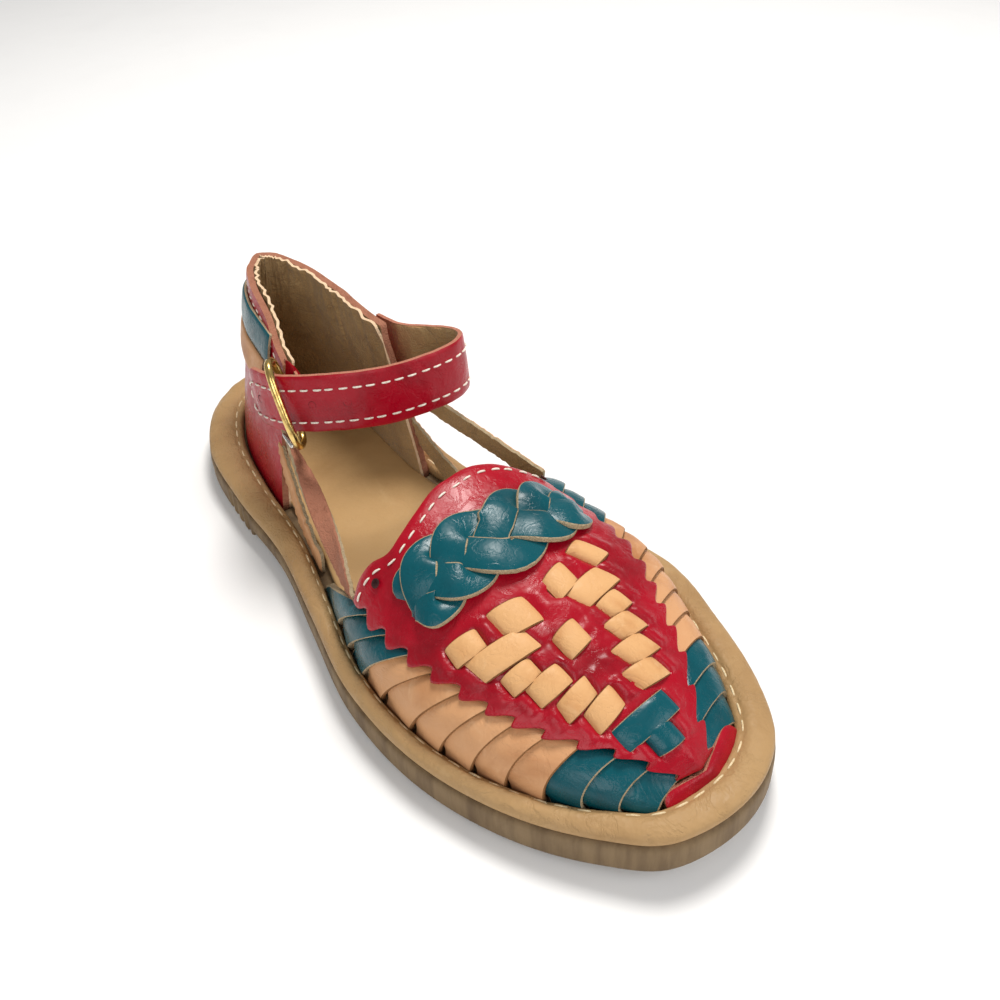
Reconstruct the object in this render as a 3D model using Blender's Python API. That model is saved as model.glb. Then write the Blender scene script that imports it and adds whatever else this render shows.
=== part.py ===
"""A child's woven leather huarache, right foot.

The toe points along +Y, the outer (lateral) side along +X, and the sole stands on Z = 0.
Shapes are worked out with Y = 0 at the back of the heel, and an empty then centres them.
"""
import math

import bmesh
import bpy
import numpy as np
from mathutils import Matrix, Vector

MM = 0.001

# Driving dimensions of the sole
SHOE_LENGTH = 190 * MM
BALL_BREADTH = 78 * MM
OUTSOLE_THICKNESS = 7.6 * MM
TOE_SPRING = 3.0 * MM
ARCH_LIFT = 2.2 * MM
HEEL_LENGTH = 52 * MM
HEEL_STEP_RUN = 1.4 * MM
SIDE_RIB_COUNT = 4
SIDE_RIB_PITCH = 3.6 * MM
SIDE_RIB_DEPTH = 0.7 * MM
OUTSOLE_EDGE_ROUND = 0.9 * MM
RIM_WIDTH = 9.0 * MM
RIM_HEIGHT = 3.1 * MM
INSOLE_THICKNESS = 1.8 * MM

# Driving dimensions of the upper
FIT_GAP = 0.3 * MM
WALL = 2.0 * MM
INSTEP_HEIGHT = 42 * MM
THROAT_LATERAL = 97 * MM
THROAT_MEDIAL = 104 * MM
TOE_TAB_HALF = 10 * MM
STRIP_SLOT = 1.3 * MM
STRIP_LIFT = 0.7 * MM
SHIELD_LIFT = 0.6 * MM
TOE_TAB_LIFT = 0.6 * MM
SQUARE_LIFT = 1.2 * MM
SQUARE_SINK = 0.9 * MM
COUNTER_HEIGHT = 57 * MM
COUNTER_LATERAL_REACH = 57 * MM
COUNTER_MEDIAL_REACH = 72 * MM
COUNTER_LATERAL_NARROWING = 0.45
COUNTER_MEDIAL_NARROWING = 0.37
COUNTER_SIDE_SHIFT = 4.0 * MM
COUNTER_BACK_SHIFT = 4.6 * MM
COUNTER_LATERAL_SLANT = 8.0 * MM
COUNTER_MEDIAL_SLANT = 13.0 * MM
MEDIAL_BOW = 3.5 * MM
MEDIAL_BOW_END = 0.5
LACE_WIDTH = 6.0 * MM
LACE_THICKNESS = 1.6 * MM
LACE_SEAM_RISE = 3.6 * MM
LACE_SEAM_FOOT = 0.6 * MM

# Driving dimensions of the braid, bands, strap and buckle
BRAID_WIDTH = 17 * MM
BRAID_STRIP = 7.4 * MM
BRAID_THICKNESS = 1.5 * MM
BRAID_SWING = 0.8 * MM
BRAID_STRANDS = 3
BRAID_TURNS = 1.3
BRAID_SECTIONS = 26
BAND_THICKNESS = 1.0 * MM
BAND_WIDTH = 7.6 * MM
TEAL_BAND_HEIGHT = 47 * MM
NATURAL_BAND_HEIGHT = 38.6 * MM
TEAL_BAND_REACH = 47 * MM
NATURAL_BAND_REACH = 42 * MM
STRAP_WIDTH = 15 * MM
STRAP_THICKNESS = 2.2 * MM
TAB_WIDTH = 6.5 * MM
TAB_THICKNESS = 1.0 * MM
BUCKLE_LENGTH = 24.0 * MM
BUCKLE_BREADTH = 12.4 * MM
BUCKLE_WIRE = 1.0 * MM
PRONG_RADIUS = 0.7 * MM
PRONG_TIP_RADIUS = 0.3 * MM

# Outline of the sole: shares of the length, of half the ball's breadth, and of the rim's width
OUTLINE_COLUMNS = ("along", "lateral", "medial", "rim_lateral", "rim_medial")
OUTLINE = [
    (0.030, 0.335, -0.385, 1.06, 1.06),
    (0.115, 0.610, -0.620, 1.10, 1.04),
    (0.237, 0.715, -0.665, 0.92, 0.98),
    (0.370, 0.755, -0.605, 0.72, 0.86),
    (0.485, 0.875, -0.665, 0.58, 0.76),
    (0.605, 1.000, -0.825, 0.50, 0.72),
    (0.725, 0.985, -0.990, 0.46, 0.76),
    (0.840, 0.815, -0.850, 0.50, 0.88),
    (0.926, 0.575, -0.655, 0.60, 0.92),
    (0.979, 0.340, -0.430, 0.76, 0.92),
]
HEEL_TIP_ACROSS = -0.013
TOE_TIP_ACROSS = -0.090
HEEL_TIP_RIM = 1.06
TOE_TIP_RIM = 0.88

# Crown line of the vamp: shares of the length, of half the breadth and of the instep height
CROWN_COLUMNS = ("along", "across", "height")
CROWN = [
    (0.547, 0.077, 1.000),
    (0.642, 0.090, 0.905),
    (0.737, 0.090, 0.798),
    (0.816, 0.077, 0.690),
    (0.884, 0.050, 0.560),
    (0.939, 0.026, 0.420),
]
SECTION_FULLNESS = 0.78

# Side strips, from the throat to the toe: where each front edge stands at its foot and at its
# tip, as shares of the way from the throat to the toe
STRIP_COLUMNS = ("foot", "tip")
STRIPS = [
    (0.010, 0.200),
    (0.090, 0.270),
    (0.180, 0.340),
    (0.265, 0.405),
    (0.375, 0.475),
    (0.465, 0.535),
    (0.550, 0.590),
    (0.635, 0.645),
    (0.725, 0.705),
    (0.810, 0.765),
    (0.890, 0.830),
    (0.970, 0.900),
]
THROAT_FOOT = -0.135
THROAT_TIP = 0.120

# Edge of the red shield: how far round the section it lies on each side, by the strips' tips
BORDER_COLUMNS = ("tip", "lateral", "medial")
BORDER = [
    (0.12, 0.150, 0.215),
    (0.30, 0.185, 0.235),
    (0.45, 0.225, 0.275),
    (0.60, 0.265, 0.315),
    (0.70, 0.320, 0.345),
    (0.77, 0.375, 0.395),
    (0.83, 0.403, 0.430),
    (0.90, 0.430, 0.450),
    (1.00, 0.450, 0.465),
]
SCALLOP = 0.018

# Rear edge of the shield: ears at both ends and the rounded throat flap between them
REAR_EDGE_COLUMNS = ("turn", "share")
REAR_EDGE = [
    (0.150, 0.114),
    (0.200, 0.103),
    (0.260, 0.104),
    (0.310, 0.117),
    (0.365, 0.100),
    (0.410, 0.080),
    (0.500, 0.035),
    (0.600, 0.040),
    (0.660, 0.060),
    (0.720, 0.085),
    (0.785, 0.104),
]
FRONT_EDGE_COLUMNS = ("turn", "share")
FRONT_EDGE = [
    (0.300, 0.895),
    (0.430, 0.900),
    (0.500, 0.905),
    (0.560, 0.915),
    (0.700, 0.915),
]

# Woven squares on the shield: place along and round the vamp, heading and skew in degrees, sides
SQUARE_COLUMNS = ("share", "turn", "heading", "skew", "length", "breadth")
SQUARES = [
    (0.375, 0.440, -14, 14, 7.1 * MM, 6.0 * MM),
    (0.388, 0.320, -13, 4, 6.1 * MM, 4.4 * MM),
    (0.440, 0.370, -15, 18, 10.7 * MM, 5.0 * MM),
    (0.502, 0.362, -11, 5, 5.8 * MM, 4.0 * MM),
    (0.545, 0.392, -10, 5, 6.6 * MM, 4.5 * MM),
    (0.600, 0.411, -5, -7, 6.5 * MM, 4.0 * MM),
    (0.646, 0.438, -1, -6, 6.4 * MM, 4.5 * MM),
    (0.467, 0.485, 3, -3, 5.3 * MM, 5.3 * MM),
    (0.352, 0.520, 10, -8, 5.9 * MM, 5.2 * MM),
    (0.354, 0.602, 8, 20, 4.5 * MM, 6.4 * MM),
    (0.416, 0.556, 6, 19, 9.4 * MM, 5.1 * MM),
    (0.480, 0.566, 7, 11, 5.7 * MM, 4.3 * MM),
    (0.532, 0.556, -1, 22, 6.4 * MM, 4.5 * MM),
    (0.583, 0.542, -2, 25, 7.2 * MM, 4.6 * MM),
    (0.634, 0.528, -7, 21, 7.2 * MM, 4.4 * MM),
    (0.707, 0.482, -5, 7, 11.0 * MM, 4.6 * MM),
    (0.760, 0.488, -10, 11, 5.2 * MM, 4.5 * MM),
]

# Line of the braid across the vamp
BRAID_COLUMNS = ("share", "turn")
BRAID_LINE = [
    (0.256, 0.285),
    (0.238, 0.350),
    (0.218, 0.430),
    (0.210, 0.520),
    (0.226, 0.610),
    (0.256, 0.695),
]

# Top edge of the heel counter: shares of its height by the way round from lateral to medial
COUNTER_TOP_COLUMNS = ("round", "height")
COUNTER_TOP = [
    (-1.00, 0.915),
    (-0.60, 0.930),
    (-0.20, 0.985),
    (0.00, 1.000),
    (0.25, 0.985),
    (0.55, 0.965),
    (0.80, 0.920),
    (1.00, 0.820),
]

# Laces: where each leaves the counter, and how its middle points leave the straight line to its end
LACE_COLUMNS = ("name", "round", "height", "points")
LACES = [
    ("lace_lateral_lower", 0.960, 24 * MM, [(0.35, 0.2 * MM, -0.8 * MM), (0.70, 0.4 * MM, -0.8 * MM)]),
    ("lace_medial_lower", -0.950, 26 * MM, [(0.35, -0.6 * MM, -1.0 * MM), (0.70, -0.8 * MM, -1.0 * MM)]),
    ("lace_lateral_upper", 0.950, 31 * MM, [(0.30, -1.0 * MM, -2.2 * MM), (0.65, -0.8 * MM, -2.0 * MM)]),
    ("lace_medial_upper", -0.950, 36 * MM, [(0.30, -0.8 * MM, -1.2 * MM), (0.65, -1.2 * MM, -1.4 * MM)]),
]
LACE_POINT_COLUMNS = ("share", "outward", "upward")
LATERAL_LACE_FOOT = 78 * MM
MEDIAL_LACE_FOOT = 84 * MM
LATERAL_LACE_END = (0.105, 0.128)
MEDIAL_LACE_END = (0.060, 0.850)
LACE_START_UP = (0.0, 0.35, 1.0)

# Points by hand along the ankle strap and round the buckle, in millimetres: across the shoe,
# forward of the counter's lateral front edge, and up
STRAP_LINE = [(15.8, -13.5, 37.4), (17.4, -8.0, 39.6), (16.9, 1.5, 42.4), (13.0, 9.5, 44.6),
              (6.7, 17.6, 46.6), (-1.0, 22.6, 47.0), (-10.0, 25.2, 47.0), (-19.0, 25.6, 46.6),
              (-24.8, 22.2, 45.4), (-25.6, 16.0, 43.8), (-22.8, 9.0, 42.2), (-19.6, 2.5, 41.2),
              (-18.4, -6.5, 40.6)]
STRAP_LEAN = 0.17
BUCKLE_CENTRE = (15.7, 2.8, 42.2)
BUCKLE_ACROSS = (0.55, 0.83, 0.20)
BUCKLE_UPRIGHT = (-0.02, -0.50, 0.86)
TAB_LINE = [(14.1, -7.6, 41.0), (14.8, -4.4, 41.0), (15.0, -1.6, 41.0), (13.3, 0.8, 41.0),
            (10.3, 0.0, 41.0), (8.9, -3.0, 41.0), (8.7, -7.6, 41.0)]
TAB_UPRIGHT = (-0.15, -0.44, 0.88)
PRONG_TIP = (17.6, 2.4, 33.6)


def column(table, columns, name):
    """One named column of a table."""
    place = columns.index(name)
    return np.array([row[place] for row in table], float)


def catmull(points, count):
    """An open smooth curve through the points, read at even steps."""
    points = np.asarray(points, float)
    line = np.vstack([2 * points[0] - points[1], points, 2 * points[-1] - points[-2]])
    result = []
    for where in np.linspace(0, len(points) - 1, count):
        first = min(int(where), len(points) - 2)
        t = where - first
        a, b, c, d = line[first:first + 4]
        turn = (c - a) * t + (2 * a - 5 * b + 4 * c - d) * t ** 2 + (3 * b - a - 3 * c + d) * t ** 3
        result.append(b + 0.5 * turn)
    return np.array(result)


def even_curve(points, count):
    """A smooth curve through the points with its samples at even distances."""
    fine = catmull(points, 40 * len(points))
    run = np.concatenate([[0], np.cumsum(np.linalg.norm(np.diff(fine, axis=0), axis=1))])
    at = np.linspace(0, run[-1], count)
    return np.column_stack([np.interp(at, run, fine[:, axis]) for axis in range(fine.shape[1])])


def smooth_step(value):
    """Ease from 0 to 1."""
    value = np.clip(value, 0, 1)
    return value * value * (3 - 2 * value)


def closed_curve(points, steps):
    """A closed smooth curve through the points, with knots spaced by their distance."""
    points = np.asarray(points, float)
    count = len(points)
    gaps = np.sqrt(np.linalg.norm(np.roll(points, -1, 0) - points, axis=1))
    result = []
    for i in range(count):
        before, start = points[i - 1], points[i]
        end, after = points[(i + 1) % count], points[(i + 2) % count]
        d0, d1, d2 = gaps[i - 1], gaps[i], gaps[(i + 1) % count]
        leave = d1 * ((start - before) / d0 - (end - before) / (d0 + d1) + (end - start) / d1)
        arrive = d1 * ((end - start) / d1 - (after - start) / (d1 + d2) + (after - end) / d2)
        for t in np.linspace(0, 1, steps, endpoint=False):
            blend = (2 * t ** 3 - 3 * t ** 2 + 1) * start + (t ** 3 - 2 * t ** 2 + t) * leave
            blend = blend + (3 * t ** 2 - 2 * t ** 3) * end + (t ** 3 - t ** 2) * arrive
            result.append(blend)
    return np.array(result)


def outline_loop(steps=60):
    """The sole's outline from the heel tip round the lateral side, with the rim's width."""
    half = BALL_BREADTH / 2
    along = column(OUTLINE, OUTLINE_COLUMNS, "along") * SHOE_LENGTH
    sides = []
    for name, rim in (("lateral", "rim_lateral"), ("medial", "rim_medial")):
        across = column(OUTLINE, OUTLINE_COLUMNS, name) * half
        width = column(OUTLINE, OUTLINE_COLUMNS, rim) * RIM_WIDTH
        sides.append(np.column_stack([across, along, width]))
    heel = (HEEL_TIP_ACROSS * half, 0.0, HEEL_TIP_RIM * RIM_WIDTH)
    toe = (TOE_TIP_ACROSS * half, SHOE_LENGTH, TOE_TIP_RIM * RIM_WIDTH)
    loop = closed_curve(np.vstack([[heel], sides[0], [toe], sides[1][::-1]]), steps)
    low, high = loop[:, :2].min(0), loop[:, :2].max(0)
    loop[:, 0] = (loop[:, 0] - (low[0] + high[0]) / 2) * BALL_BREADTH / (high[0] - low[0])
    loop[:, 1] = (loop[:, 1] - low[1]) * SHOE_LENGTH / (high[1] - low[1])
    return np.roll(loop, -int(loop[:, 1].argmin()), 0)


LOOP = outline_loop()
LOOP_TANGENT = np.roll(LOOP[:, :2], -1, 0) - np.roll(LOOP[:, :2], 1, 0)
LOOP_TANGENT = LOOP_TANGENT / np.linalg.norm(LOOP_TANGENT, axis=1)[:, None]
LOOP_OUTWARD = np.column_stack([LOOP_TANGENT[:, 1], -LOOP_TANGENT[:, 0]])
TOE_INDEX = int(LOOP[:, 1].argmax())
LOOP_COUNT = len(LOOP)


def loop_read(where, values):
    """Values along the outline at fractional places on it."""
    wrapped = np.vstack([values, values[:1]])
    spots = np.arange(LOOP_COUNT + 1)
    return np.column_stack([np.interp(where, spots, wrapped[:, k]) for k in range(values.shape[1])])


def edge_at(where, inset, rim_share=0.0):
    """Plan points set in from the outline by a distance and a share of the rim's width."""
    where = np.atleast_1d(np.asarray(where, float)) % LOOP_COUNT
    place = loop_read(where, LOOP)
    outward = loop_read(where, LOOP_OUTWARD)
    inward = np.asarray(inset) + rim_share * place[:, 2]
    return place[:, :2] - outward * inward[:, None] if np.ndim(inward) else place[:, :2] - outward * inward


def places_at(along):
    """Places on the outline, lateral then medial, where it passes these distances from the heel."""
    lateral = np.interp(along, LOOP[:TOE_INDEX + 1, 1], np.arange(TOE_INDEX + 1))
    back = np.arange(LOOP_COUNT, TOE_INDEX - 1, -1)
    heights = LOOP[back % LOOP_COUNT, 1]
    medial = np.interp(along, heights, back)
    return lateral, medial


def rib_stations():
    """Distances from the heel at the edges of the upright ribs behind the heel breast."""
    edges = []
    for rib in range(SIDE_RIB_COUNT):
        start = HEEL_LENGTH - (rib + 1) * SIDE_RIB_PITCH
        edges += [start + 0.30 * SIDE_RIB_PITCH, start + 0.36 * SIDE_RIB_PITCH]
        edges += [start + 0.90 * SIDE_RIB_PITCH, start + 0.96 * SIDE_RIB_PITCH]
    return edges


def sole_stations(count):
    """Distances from the heel for the sections of the sole, closer together at both ends."""
    even = [0.5 * (1 - math.cos(math.pi * (k + 1) / (count + 1))) * SHOE_LENGTH for k in range(count)]
    breast = [HEEL_LENGTH, HEEL_LENGTH + HEEL_STEP_RUN]
    fixed = rib_stations() + breast
    clear = [y for y in even if min(abs(y - z) for z in fixed) > 1.2 * MM]
    return sorted(clear + fixed)


def toe_rise(along):
    """How far the sole has lifted for the toe spring."""
    share = (np.asarray(along) / SHOE_LENGTH - 0.78) / 0.22
    return TOE_SPRING * np.clip(share, 0, 1) ** 1.8


def sole_top(along):
    """Height of the outsole's top, where the rim and the upper sit."""
    return OUTSOLE_THICKNESS + toe_rise(along)


def sole_bottom(along):
    """Height of the outsole's underside: flat heel, breast step, low arch, flat forefoot."""
    along = np.asarray(along)
    step = np.clip((along - HEEL_LENGTH) / HEEL_STEP_RUN, 0, 1)
    fall = 1 - smooth_step((along / SHOE_LENGTH - 0.38) / 0.14)
    return toe_rise(along) + ARCH_LIFT * step * fall


def rib_depth(along):
    """How far the side is cut back between the ribs."""
    phase = (HEEL_LENGTH - np.asarray(along)) / SIDE_RIB_PITCH
    inside = (phase > 0) & (phase < SIDE_RIB_COUNT)
    groove = ((1 - phase % 1) > 0.33) & ((1 - phase % 1) < 0.93)
    return np.where(inside & groove, SIDE_RIB_DEPTH, 0.0)


def new_object(name, mesh_data, collection, material=None):
    """An object that hangs on the sandal's empty."""
    thing = bpy.data.objects.new(name, mesh_data)
    collection.objects.link(thing)
    thing.parent = bpy.data.objects["sandal"]
    if material:
        mesh_data.materials.append(material)
    return thing


def mesh_from(bm, name):
    """A mesh with its faces turned outwards."""
    bmesh.ops.recalc_face_normals(bm, faces=bm.faces)
    data = bpy.data.meshes.new(name)
    bm.to_mesh(data)
    bm.free()
    return data


def loft(rings, closed=False):
    """A body through rings of equal count, capped at its ends unless it closes on itself."""
    bm = bmesh.new()
    rows = [[bm.verts.new(point) for point in ring] for ring in rings]
    size = len(rows[0])
    last = len(rows) if closed else len(rows) - 1
    for i in range(last):
        row, after = rows[i], rows[(i + 1) % len(rows)]
        for k in range(size):
            bm.faces.new((row[k], row[(k + 1) % size], after[(k + 1) % size], after[k]))
    if not closed:
        bm.faces.new(rows[0])
        bm.faces.new(rows[-1])
    return bm


def slab(rings):
    """A body whose rings run round the sole, heel tip first, closed below and above."""
    bm = bmesh.new()
    rows = [[bm.verts.new(point) for point in ring] for ring in rings]
    size = len(rows[0])
    for row, after in zip(rows, rows[1:]):
        for k in range(size):
            bm.faces.new((row[k], row[(k + 1) % size], after[(k + 1) % size], after[k]))
    half = size // 2
    for row in (rows[0], rows[-1]):
        bm.faces.new((row[0], row[1], row[-1]))
        for k in range(1, half - 1):
            bm.faces.new((row[k], row[k + 1], row[-k - 1], row[-k]))
        bm.faces.new((row[half - 1], row[half], row[half + 1]))
    return bm


def shell(outer, inner, keep):
    """A wall between two grids of points, with the cells that are not kept left open."""
    bm = bmesh.new()
    rows, columns = keep.shape
    made = {}

    def corner(grid, side, i, j):
        key = (side, i, j)
        if key not in made:
            made[key] = bm.verts.new(grid[i, j])
        return made[key]

    def kept(i, j):
        return 0 <= i < rows and 0 <= j < columns and keep[i, j]

    for i in range(rows):
        for j in range(columns):
            if not keep[i, j]:
                continue
            cell = [(i, j), (i + 1, j), (i + 1, j + 1), (i, j + 1)]
            bm.faces.new([corner(outer, "out", *at) for at in cell])
            bm.faces.new([corner(inner, "in", *at) for at in reversed(cell)])
            beside = [(i, j - 1), (i + 1, j), (i, j + 1), (i - 1, j)]
            for k, neighbour in enumerate(beside):
                if kept(*neighbour):
                    continue
                start, end = cell[k], cell[(k + 1) % 4]
                bm.faces.new((corner(outer, "out", *end), corner(outer, "out", *start),
                              corner(inner, "in", *start), corner(inner, "in", *end)))
    return bm


def ribbon(points, width, thickness, upright, count, round_end=False):
    """A flat strap along a smooth line, its width turned towards the upright direction."""
    line = even_curve(points, count)
    ahead = np.gradient(line, axis=0)
    ahead = ahead / np.linalg.norm(ahead, axis=1)[:, None]
    up = np.array(upright, float) if np.ndim(upright) == 2 else np.tile(upright, (count, 1))
    side = np.cross(ahead, up)
    side = side / np.linalg.norm(side, axis=1)[:, None]
    up = np.cross(side, ahead)
    rings = []
    reach = np.linalg.norm(np.diff(line, axis=0), axis=1)
    run = np.concatenate([[0], np.cumsum(reach)]) / (width / 2)
    for k in range(count):
        share = math.sqrt(max(1 - (1 - min(run[k], 1)) ** 2, 0.1)) if round_end else 1
        w, t = up[k] * width / 2 * share, side[k] * thickness / 2
        rings.append([line[k] + w + t, line[k] - w + t, line[k] - w - t, line[k] + w - t])
    return loft(rings)


# The last: a smooth surface over the forefoot, from the lateral seam over to the medial seam

def seam_places(side, start, count=200):
    """Places on the outline from the throat to the toe tab, evenly spaced along the seam."""
    lateral, medial = places_at(start)
    first, last = (lateral, TOE_INDEX) if side == "lateral" else (medial, TOE_INDEX)
    where = np.linspace(first, last, 400)
    seam = edge_at(where, 0.0, 1.0)
    run = np.concatenate([[0], np.cumsum(np.linalg.norm(np.diff(seam, axis=0), axis=1))])
    stop = run[-1] - TOE_TAB_HALF
    body = np.interp(np.linspace(0, stop, count), run, where)
    tip = np.interp(np.linspace(stop, run[-1], count), run, where)
    return body, tip


SEAM_LATERAL, TIP_LATERAL = seam_places("lateral", THROAT_LATERAL)
SEAM_MEDIAL, TIP_MEDIAL = seam_places("medial", THROAT_MEDIAL)


def read_track(track, share):
    """Plan points on the seam at shares of a track of places, which may lie behind its start."""
    where = np.interp(share, np.linspace(0, 1, len(track)), track)
    pace = (track[1] - track[0]) * (len(track) - 1)
    return edge_at(where + np.minimum(share, 0) * pace, 0.0, 1.0)


def crown_line():
    """The ridge of the vamp from the throat flap down to the toe."""
    half = BALL_BREADTH / 2
    points = [(across * half, along * SHOE_LENGTH, height * INSTEP_HEIGHT)
              for along, across, height in CROWN]
    toe = edge_at(TOE_INDEX, 0.0, 1.0)[0]
    points.append((toe[0], toe[1], float(sole_top(toe[1])) + FIT_GAP))
    return catmull(points, 241)


CROWN_LINE = crown_line()


def last_surface(share, turn):
    """Points of the last at shares from throat to toe and turns from lateral to medial."""
    share, turn = np.broadcast_arrays(np.asarray(share, float), np.asarray(turn, float))
    shape = share.shape
    share, turn = share.ravel(), turn.ravel()
    on_lateral = turn <= 0.5
    angle = np.pi * np.where(on_lateral, turn, 1 - turn)
    inward = 1 - np.clip(np.cos(angle), 0, 1) ** SECTION_FULLNESS
    upward = np.clip(np.sin(angle), 0, 1) ** SECTION_FULLNESS
    crown = np.column_stack([np.interp(share, np.linspace(0, 1, len(CROWN_LINE)), CROWN_LINE[:, k])
                             for k in range(3)])
    pace = (CROWN_LINE[1] - CROWN_LINE[0]) * (len(CROWN_LINE) - 1)
    crown = crown + np.minimum(share, 0)[:, None] * pace
    foot = np.where(on_lateral[:, None], read_track(SEAM_LATERAL, share), read_track(SEAM_MEDIAL, share))
    front = np.where(on_lateral[:, None], read_track(TIP_LATERAL, inward), read_track(TIP_MEDIAL, inward))
    plan = foot + (crown[:, :2] - foot) * inward[:, None]
    ends = np.where(on_lateral[:, None], read_track(SEAM_LATERAL, 1.0), read_track(SEAM_MEDIAL, 1.0))
    front = front + (foot - ends) * (1 - inward)[:, None]
    close = smooth_step((share - 0.90) / 0.10)[:, None]
    plan = plan * (1 - close) + front * close
    base = sole_top(plan[:, 1]) + FIT_GAP
    height = base + (crown[:, 2] - base) * upward
    return np.column_stack([plan, height]).reshape(shape + (3,))


def last_normal(share, turn):
    """Outward directions of the last, level along the seam at the toe."""
    share = np.asarray(share, float)
    turn = np.asarray(turn, float)
    step = 0.004
    after = np.minimum(share + step, 1)
    ahead = last_surface(after, turn) - last_surface(share - step, turn)
    over = last_surface(share, np.clip(turn + step, 0, 1)) - last_surface(share, np.clip(turn - step, 0, 1))
    normal = np.cross(ahead, over)
    normal[..., 2] *= 1 - np.clip(share, 0, 1) ** 12
    return normal / np.maximum(np.linalg.norm(normal, axis=-1, keepdims=True), 1e-12)


def on_last(share, turn, offset):
    """Points at a distance outside the last."""
    offset = np.asarray(offset, float)
    return last_surface(share, turn) + last_normal(share, turn) * offset[..., None]


def read_table(table, columns, key, name, at):
    """A table read at any value of its key column, smoothly between the rows."""
    keys = column(table, columns, key)
    values = column(table, columns, name)
    slopes = np.gradient(values, keys)
    at = np.clip(at, keys[0], keys[-1])
    k = np.clip(np.searchsorted(keys, at) - 1, 0, len(keys) - 2)
    span = keys[k + 1] - keys[k]
    t = (at - keys[k]) / span
    start = (1 + 2 * t) * (1 - t) ** 2 * values[k] + t * (1 - t) ** 2 * span * slopes[k]
    return start + t * t * (3 - 2 * t) * values[k + 1] + t * t * (t - 1) * span * slopes[k + 1]


def forefoot_grid():
    """Shares, turns, outer heights, bows and kept cells of the forefoot's wall."""
    feet = [THROAT_FOOT] + list(column(STRIPS, STRIP_COLUMNS, "foot"))
    tips = [THROAT_TIP] + list(column(STRIPS, STRIP_COLUMNS, "tip"))
    seam_run = SHOE_LENGTH - THROAT_LATERAL
    slot = STRIP_SLOT / seam_run
    hair = 0.6 * MM / seam_run
    lines = []
    for k in range(len(STRIPS)):
        lines.append(("rear", feet[k] + (slot if k else 0), feet[k] + hair, tips[k] + hair, 0.0, -SCALLOP))
        lines.append(("front", feet[k + 1], feet[k + 1], tips[k + 1], 1.0, SCALLOP))
    tab_tip = tips[-1] + hair
    lines.append(("tab", feet[-1] + hair, feet[-1] + hair, tab_tip, 0.0, 0.0))
    lines.append(("tab", 0.5 * (feet[-1] + 1), 0.5 * (feet[-1] + 1), 0.5 * (tab_tip + 1), 0.0, 0.0))
    lines.append(("tab", 1.0, 1.0, 1.0, 0.0, 0.0))
    side = [0.0, 0.16, 0.40, 0.72, 1.0]
    across = 11
    shares, turns, heights, bows = [], [], [], []
    for kind, foot, foot_above, tip, raised, scallop in lines:
        lateral = float(read_table(BORDER, BORDER_COLUMNS, "tip", "lateral", tip))
        medial = float(read_table(BORDER, BORDER_COLUMNS, "tip", "medial", tip))
        ratio = (tip - tips[0]) / (tips[-1] - tips[0])
        scallop = scallop * (1 - 0.5 * ratio) if ratio > 0.02 else 0.0

        def edge_share(turn):
            rear = read_table(REAR_EDGE, REAR_EDGE_COLUMNS, "turn", "share", turn)
            front = read_table(FRONT_EDGE, FRONT_EDGE_COLUMNS, "turn", "share", turn)
            if kind == "tab":
                beyond = (tip - tab_tip) / (1 - tab_tip)
                return front + hair + (1 - front - hair) * beyond
            return rear + (front - rear) * ratio

        strip = -WALL * 0.45 + STRIP_LIFT * raised
        shield = SHIELD_LIFT - 0.3 * MM
        if kind == "tab":
            strip = shield = shield + TOE_TAB_LIFT
        share, turn, height, bow = [], [], [], []
        outward = MEDIAL_BOW * float(1 - smooth_step(ratio / MEDIAL_BOW_END))
        for border, mirrored in ((lateral, False), (medial, True)):
            at_border = edge_share(1 - border if mirrored else border)
            part_share, part_turn, part_height, part_bow = [], [], [], []
            for n, fraction in enumerate(side):
                start = foot if n < 2 else foot_above
                away = (border + scallop) * fraction
                if away <= border:
                    part_share.append(start + (at_border - start) * away / border)
                else:
                    part_share.append(edge_share(1 - away if mirrored else away))
                part_turn.append(1 - away if mirrored else away)
                part_height.append(-FIT_GAP if n == 0 else strip)
                bulge = math.sin(math.pi * min(away / border, 1))
                part_bow.append(outward * bulge if mirrored else 0.0)
            if mirrored:
                middle = np.linspace(lateral + scallop + 0.004, 1 - medial - scallop - 0.004, across)
                share += [edge_share(value) for value in middle]
                turn += list(middle)
                height += [shield] * across
                bow += [0.0] * across
                part_share, part_turn = part_share[::-1], part_turn[::-1]
                part_height, part_bow = part_height[::-1], part_bow[::-1]
            share += part_share
            turn += part_turn
            height += part_height
            bow += part_bow
        shares.append(share)
        turns.append(turn)
        heights.append(height)
        bows.append(bow)
    shares = np.minimum(np.array(shares).T, 1)
    turns = np.array(turns).T
    heights = np.array(heights).T
    bows = np.array(bows).T
    keep = np.ones((shares.shape[0] - 1, shares.shape[1] - 1), bool)
    for k in range(1, len(STRIPS)):
        gap = 2 * k - 1
        keep[0:2, gap] = False
        keep[-2:, gap] = False
    return shares, turns, heights, bows, keep


def forefoot_body():
    """The vamp and its side strips as one wall."""
    shares, turns, heights, bows, keep = forefoot_grid()
    bare = last_surface(shares, turns)
    clear = (bare[..., 2] - sole_top(bare[..., 1]) - RIM_HEIGHT - 2 * FIT_GAP) / (1.5 * MM)
    raised = np.maximum(heights + FIT_GAP, 0) * np.clip(clear, 0, 1)
    outer = on_last(shares, turns, np.minimum(heights, -FIT_GAP) + raised + bows)
    inner = on_last(shares, turns, bows - WALL - FIT_GAP)
    row = np.arange(shares.shape[0])
    above_seam = np.minimum(np.minimum(row, row[::-1]), 3)[:, None] * 0.5 * MM
    for points in (outer, inner):
        floor = sole_top(points[..., 1]) + FIT_GAP
        points[..., 2] = np.maximum(points[..., 2], floor + above_seam)
    return shell(outer, inner, keep)


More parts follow.
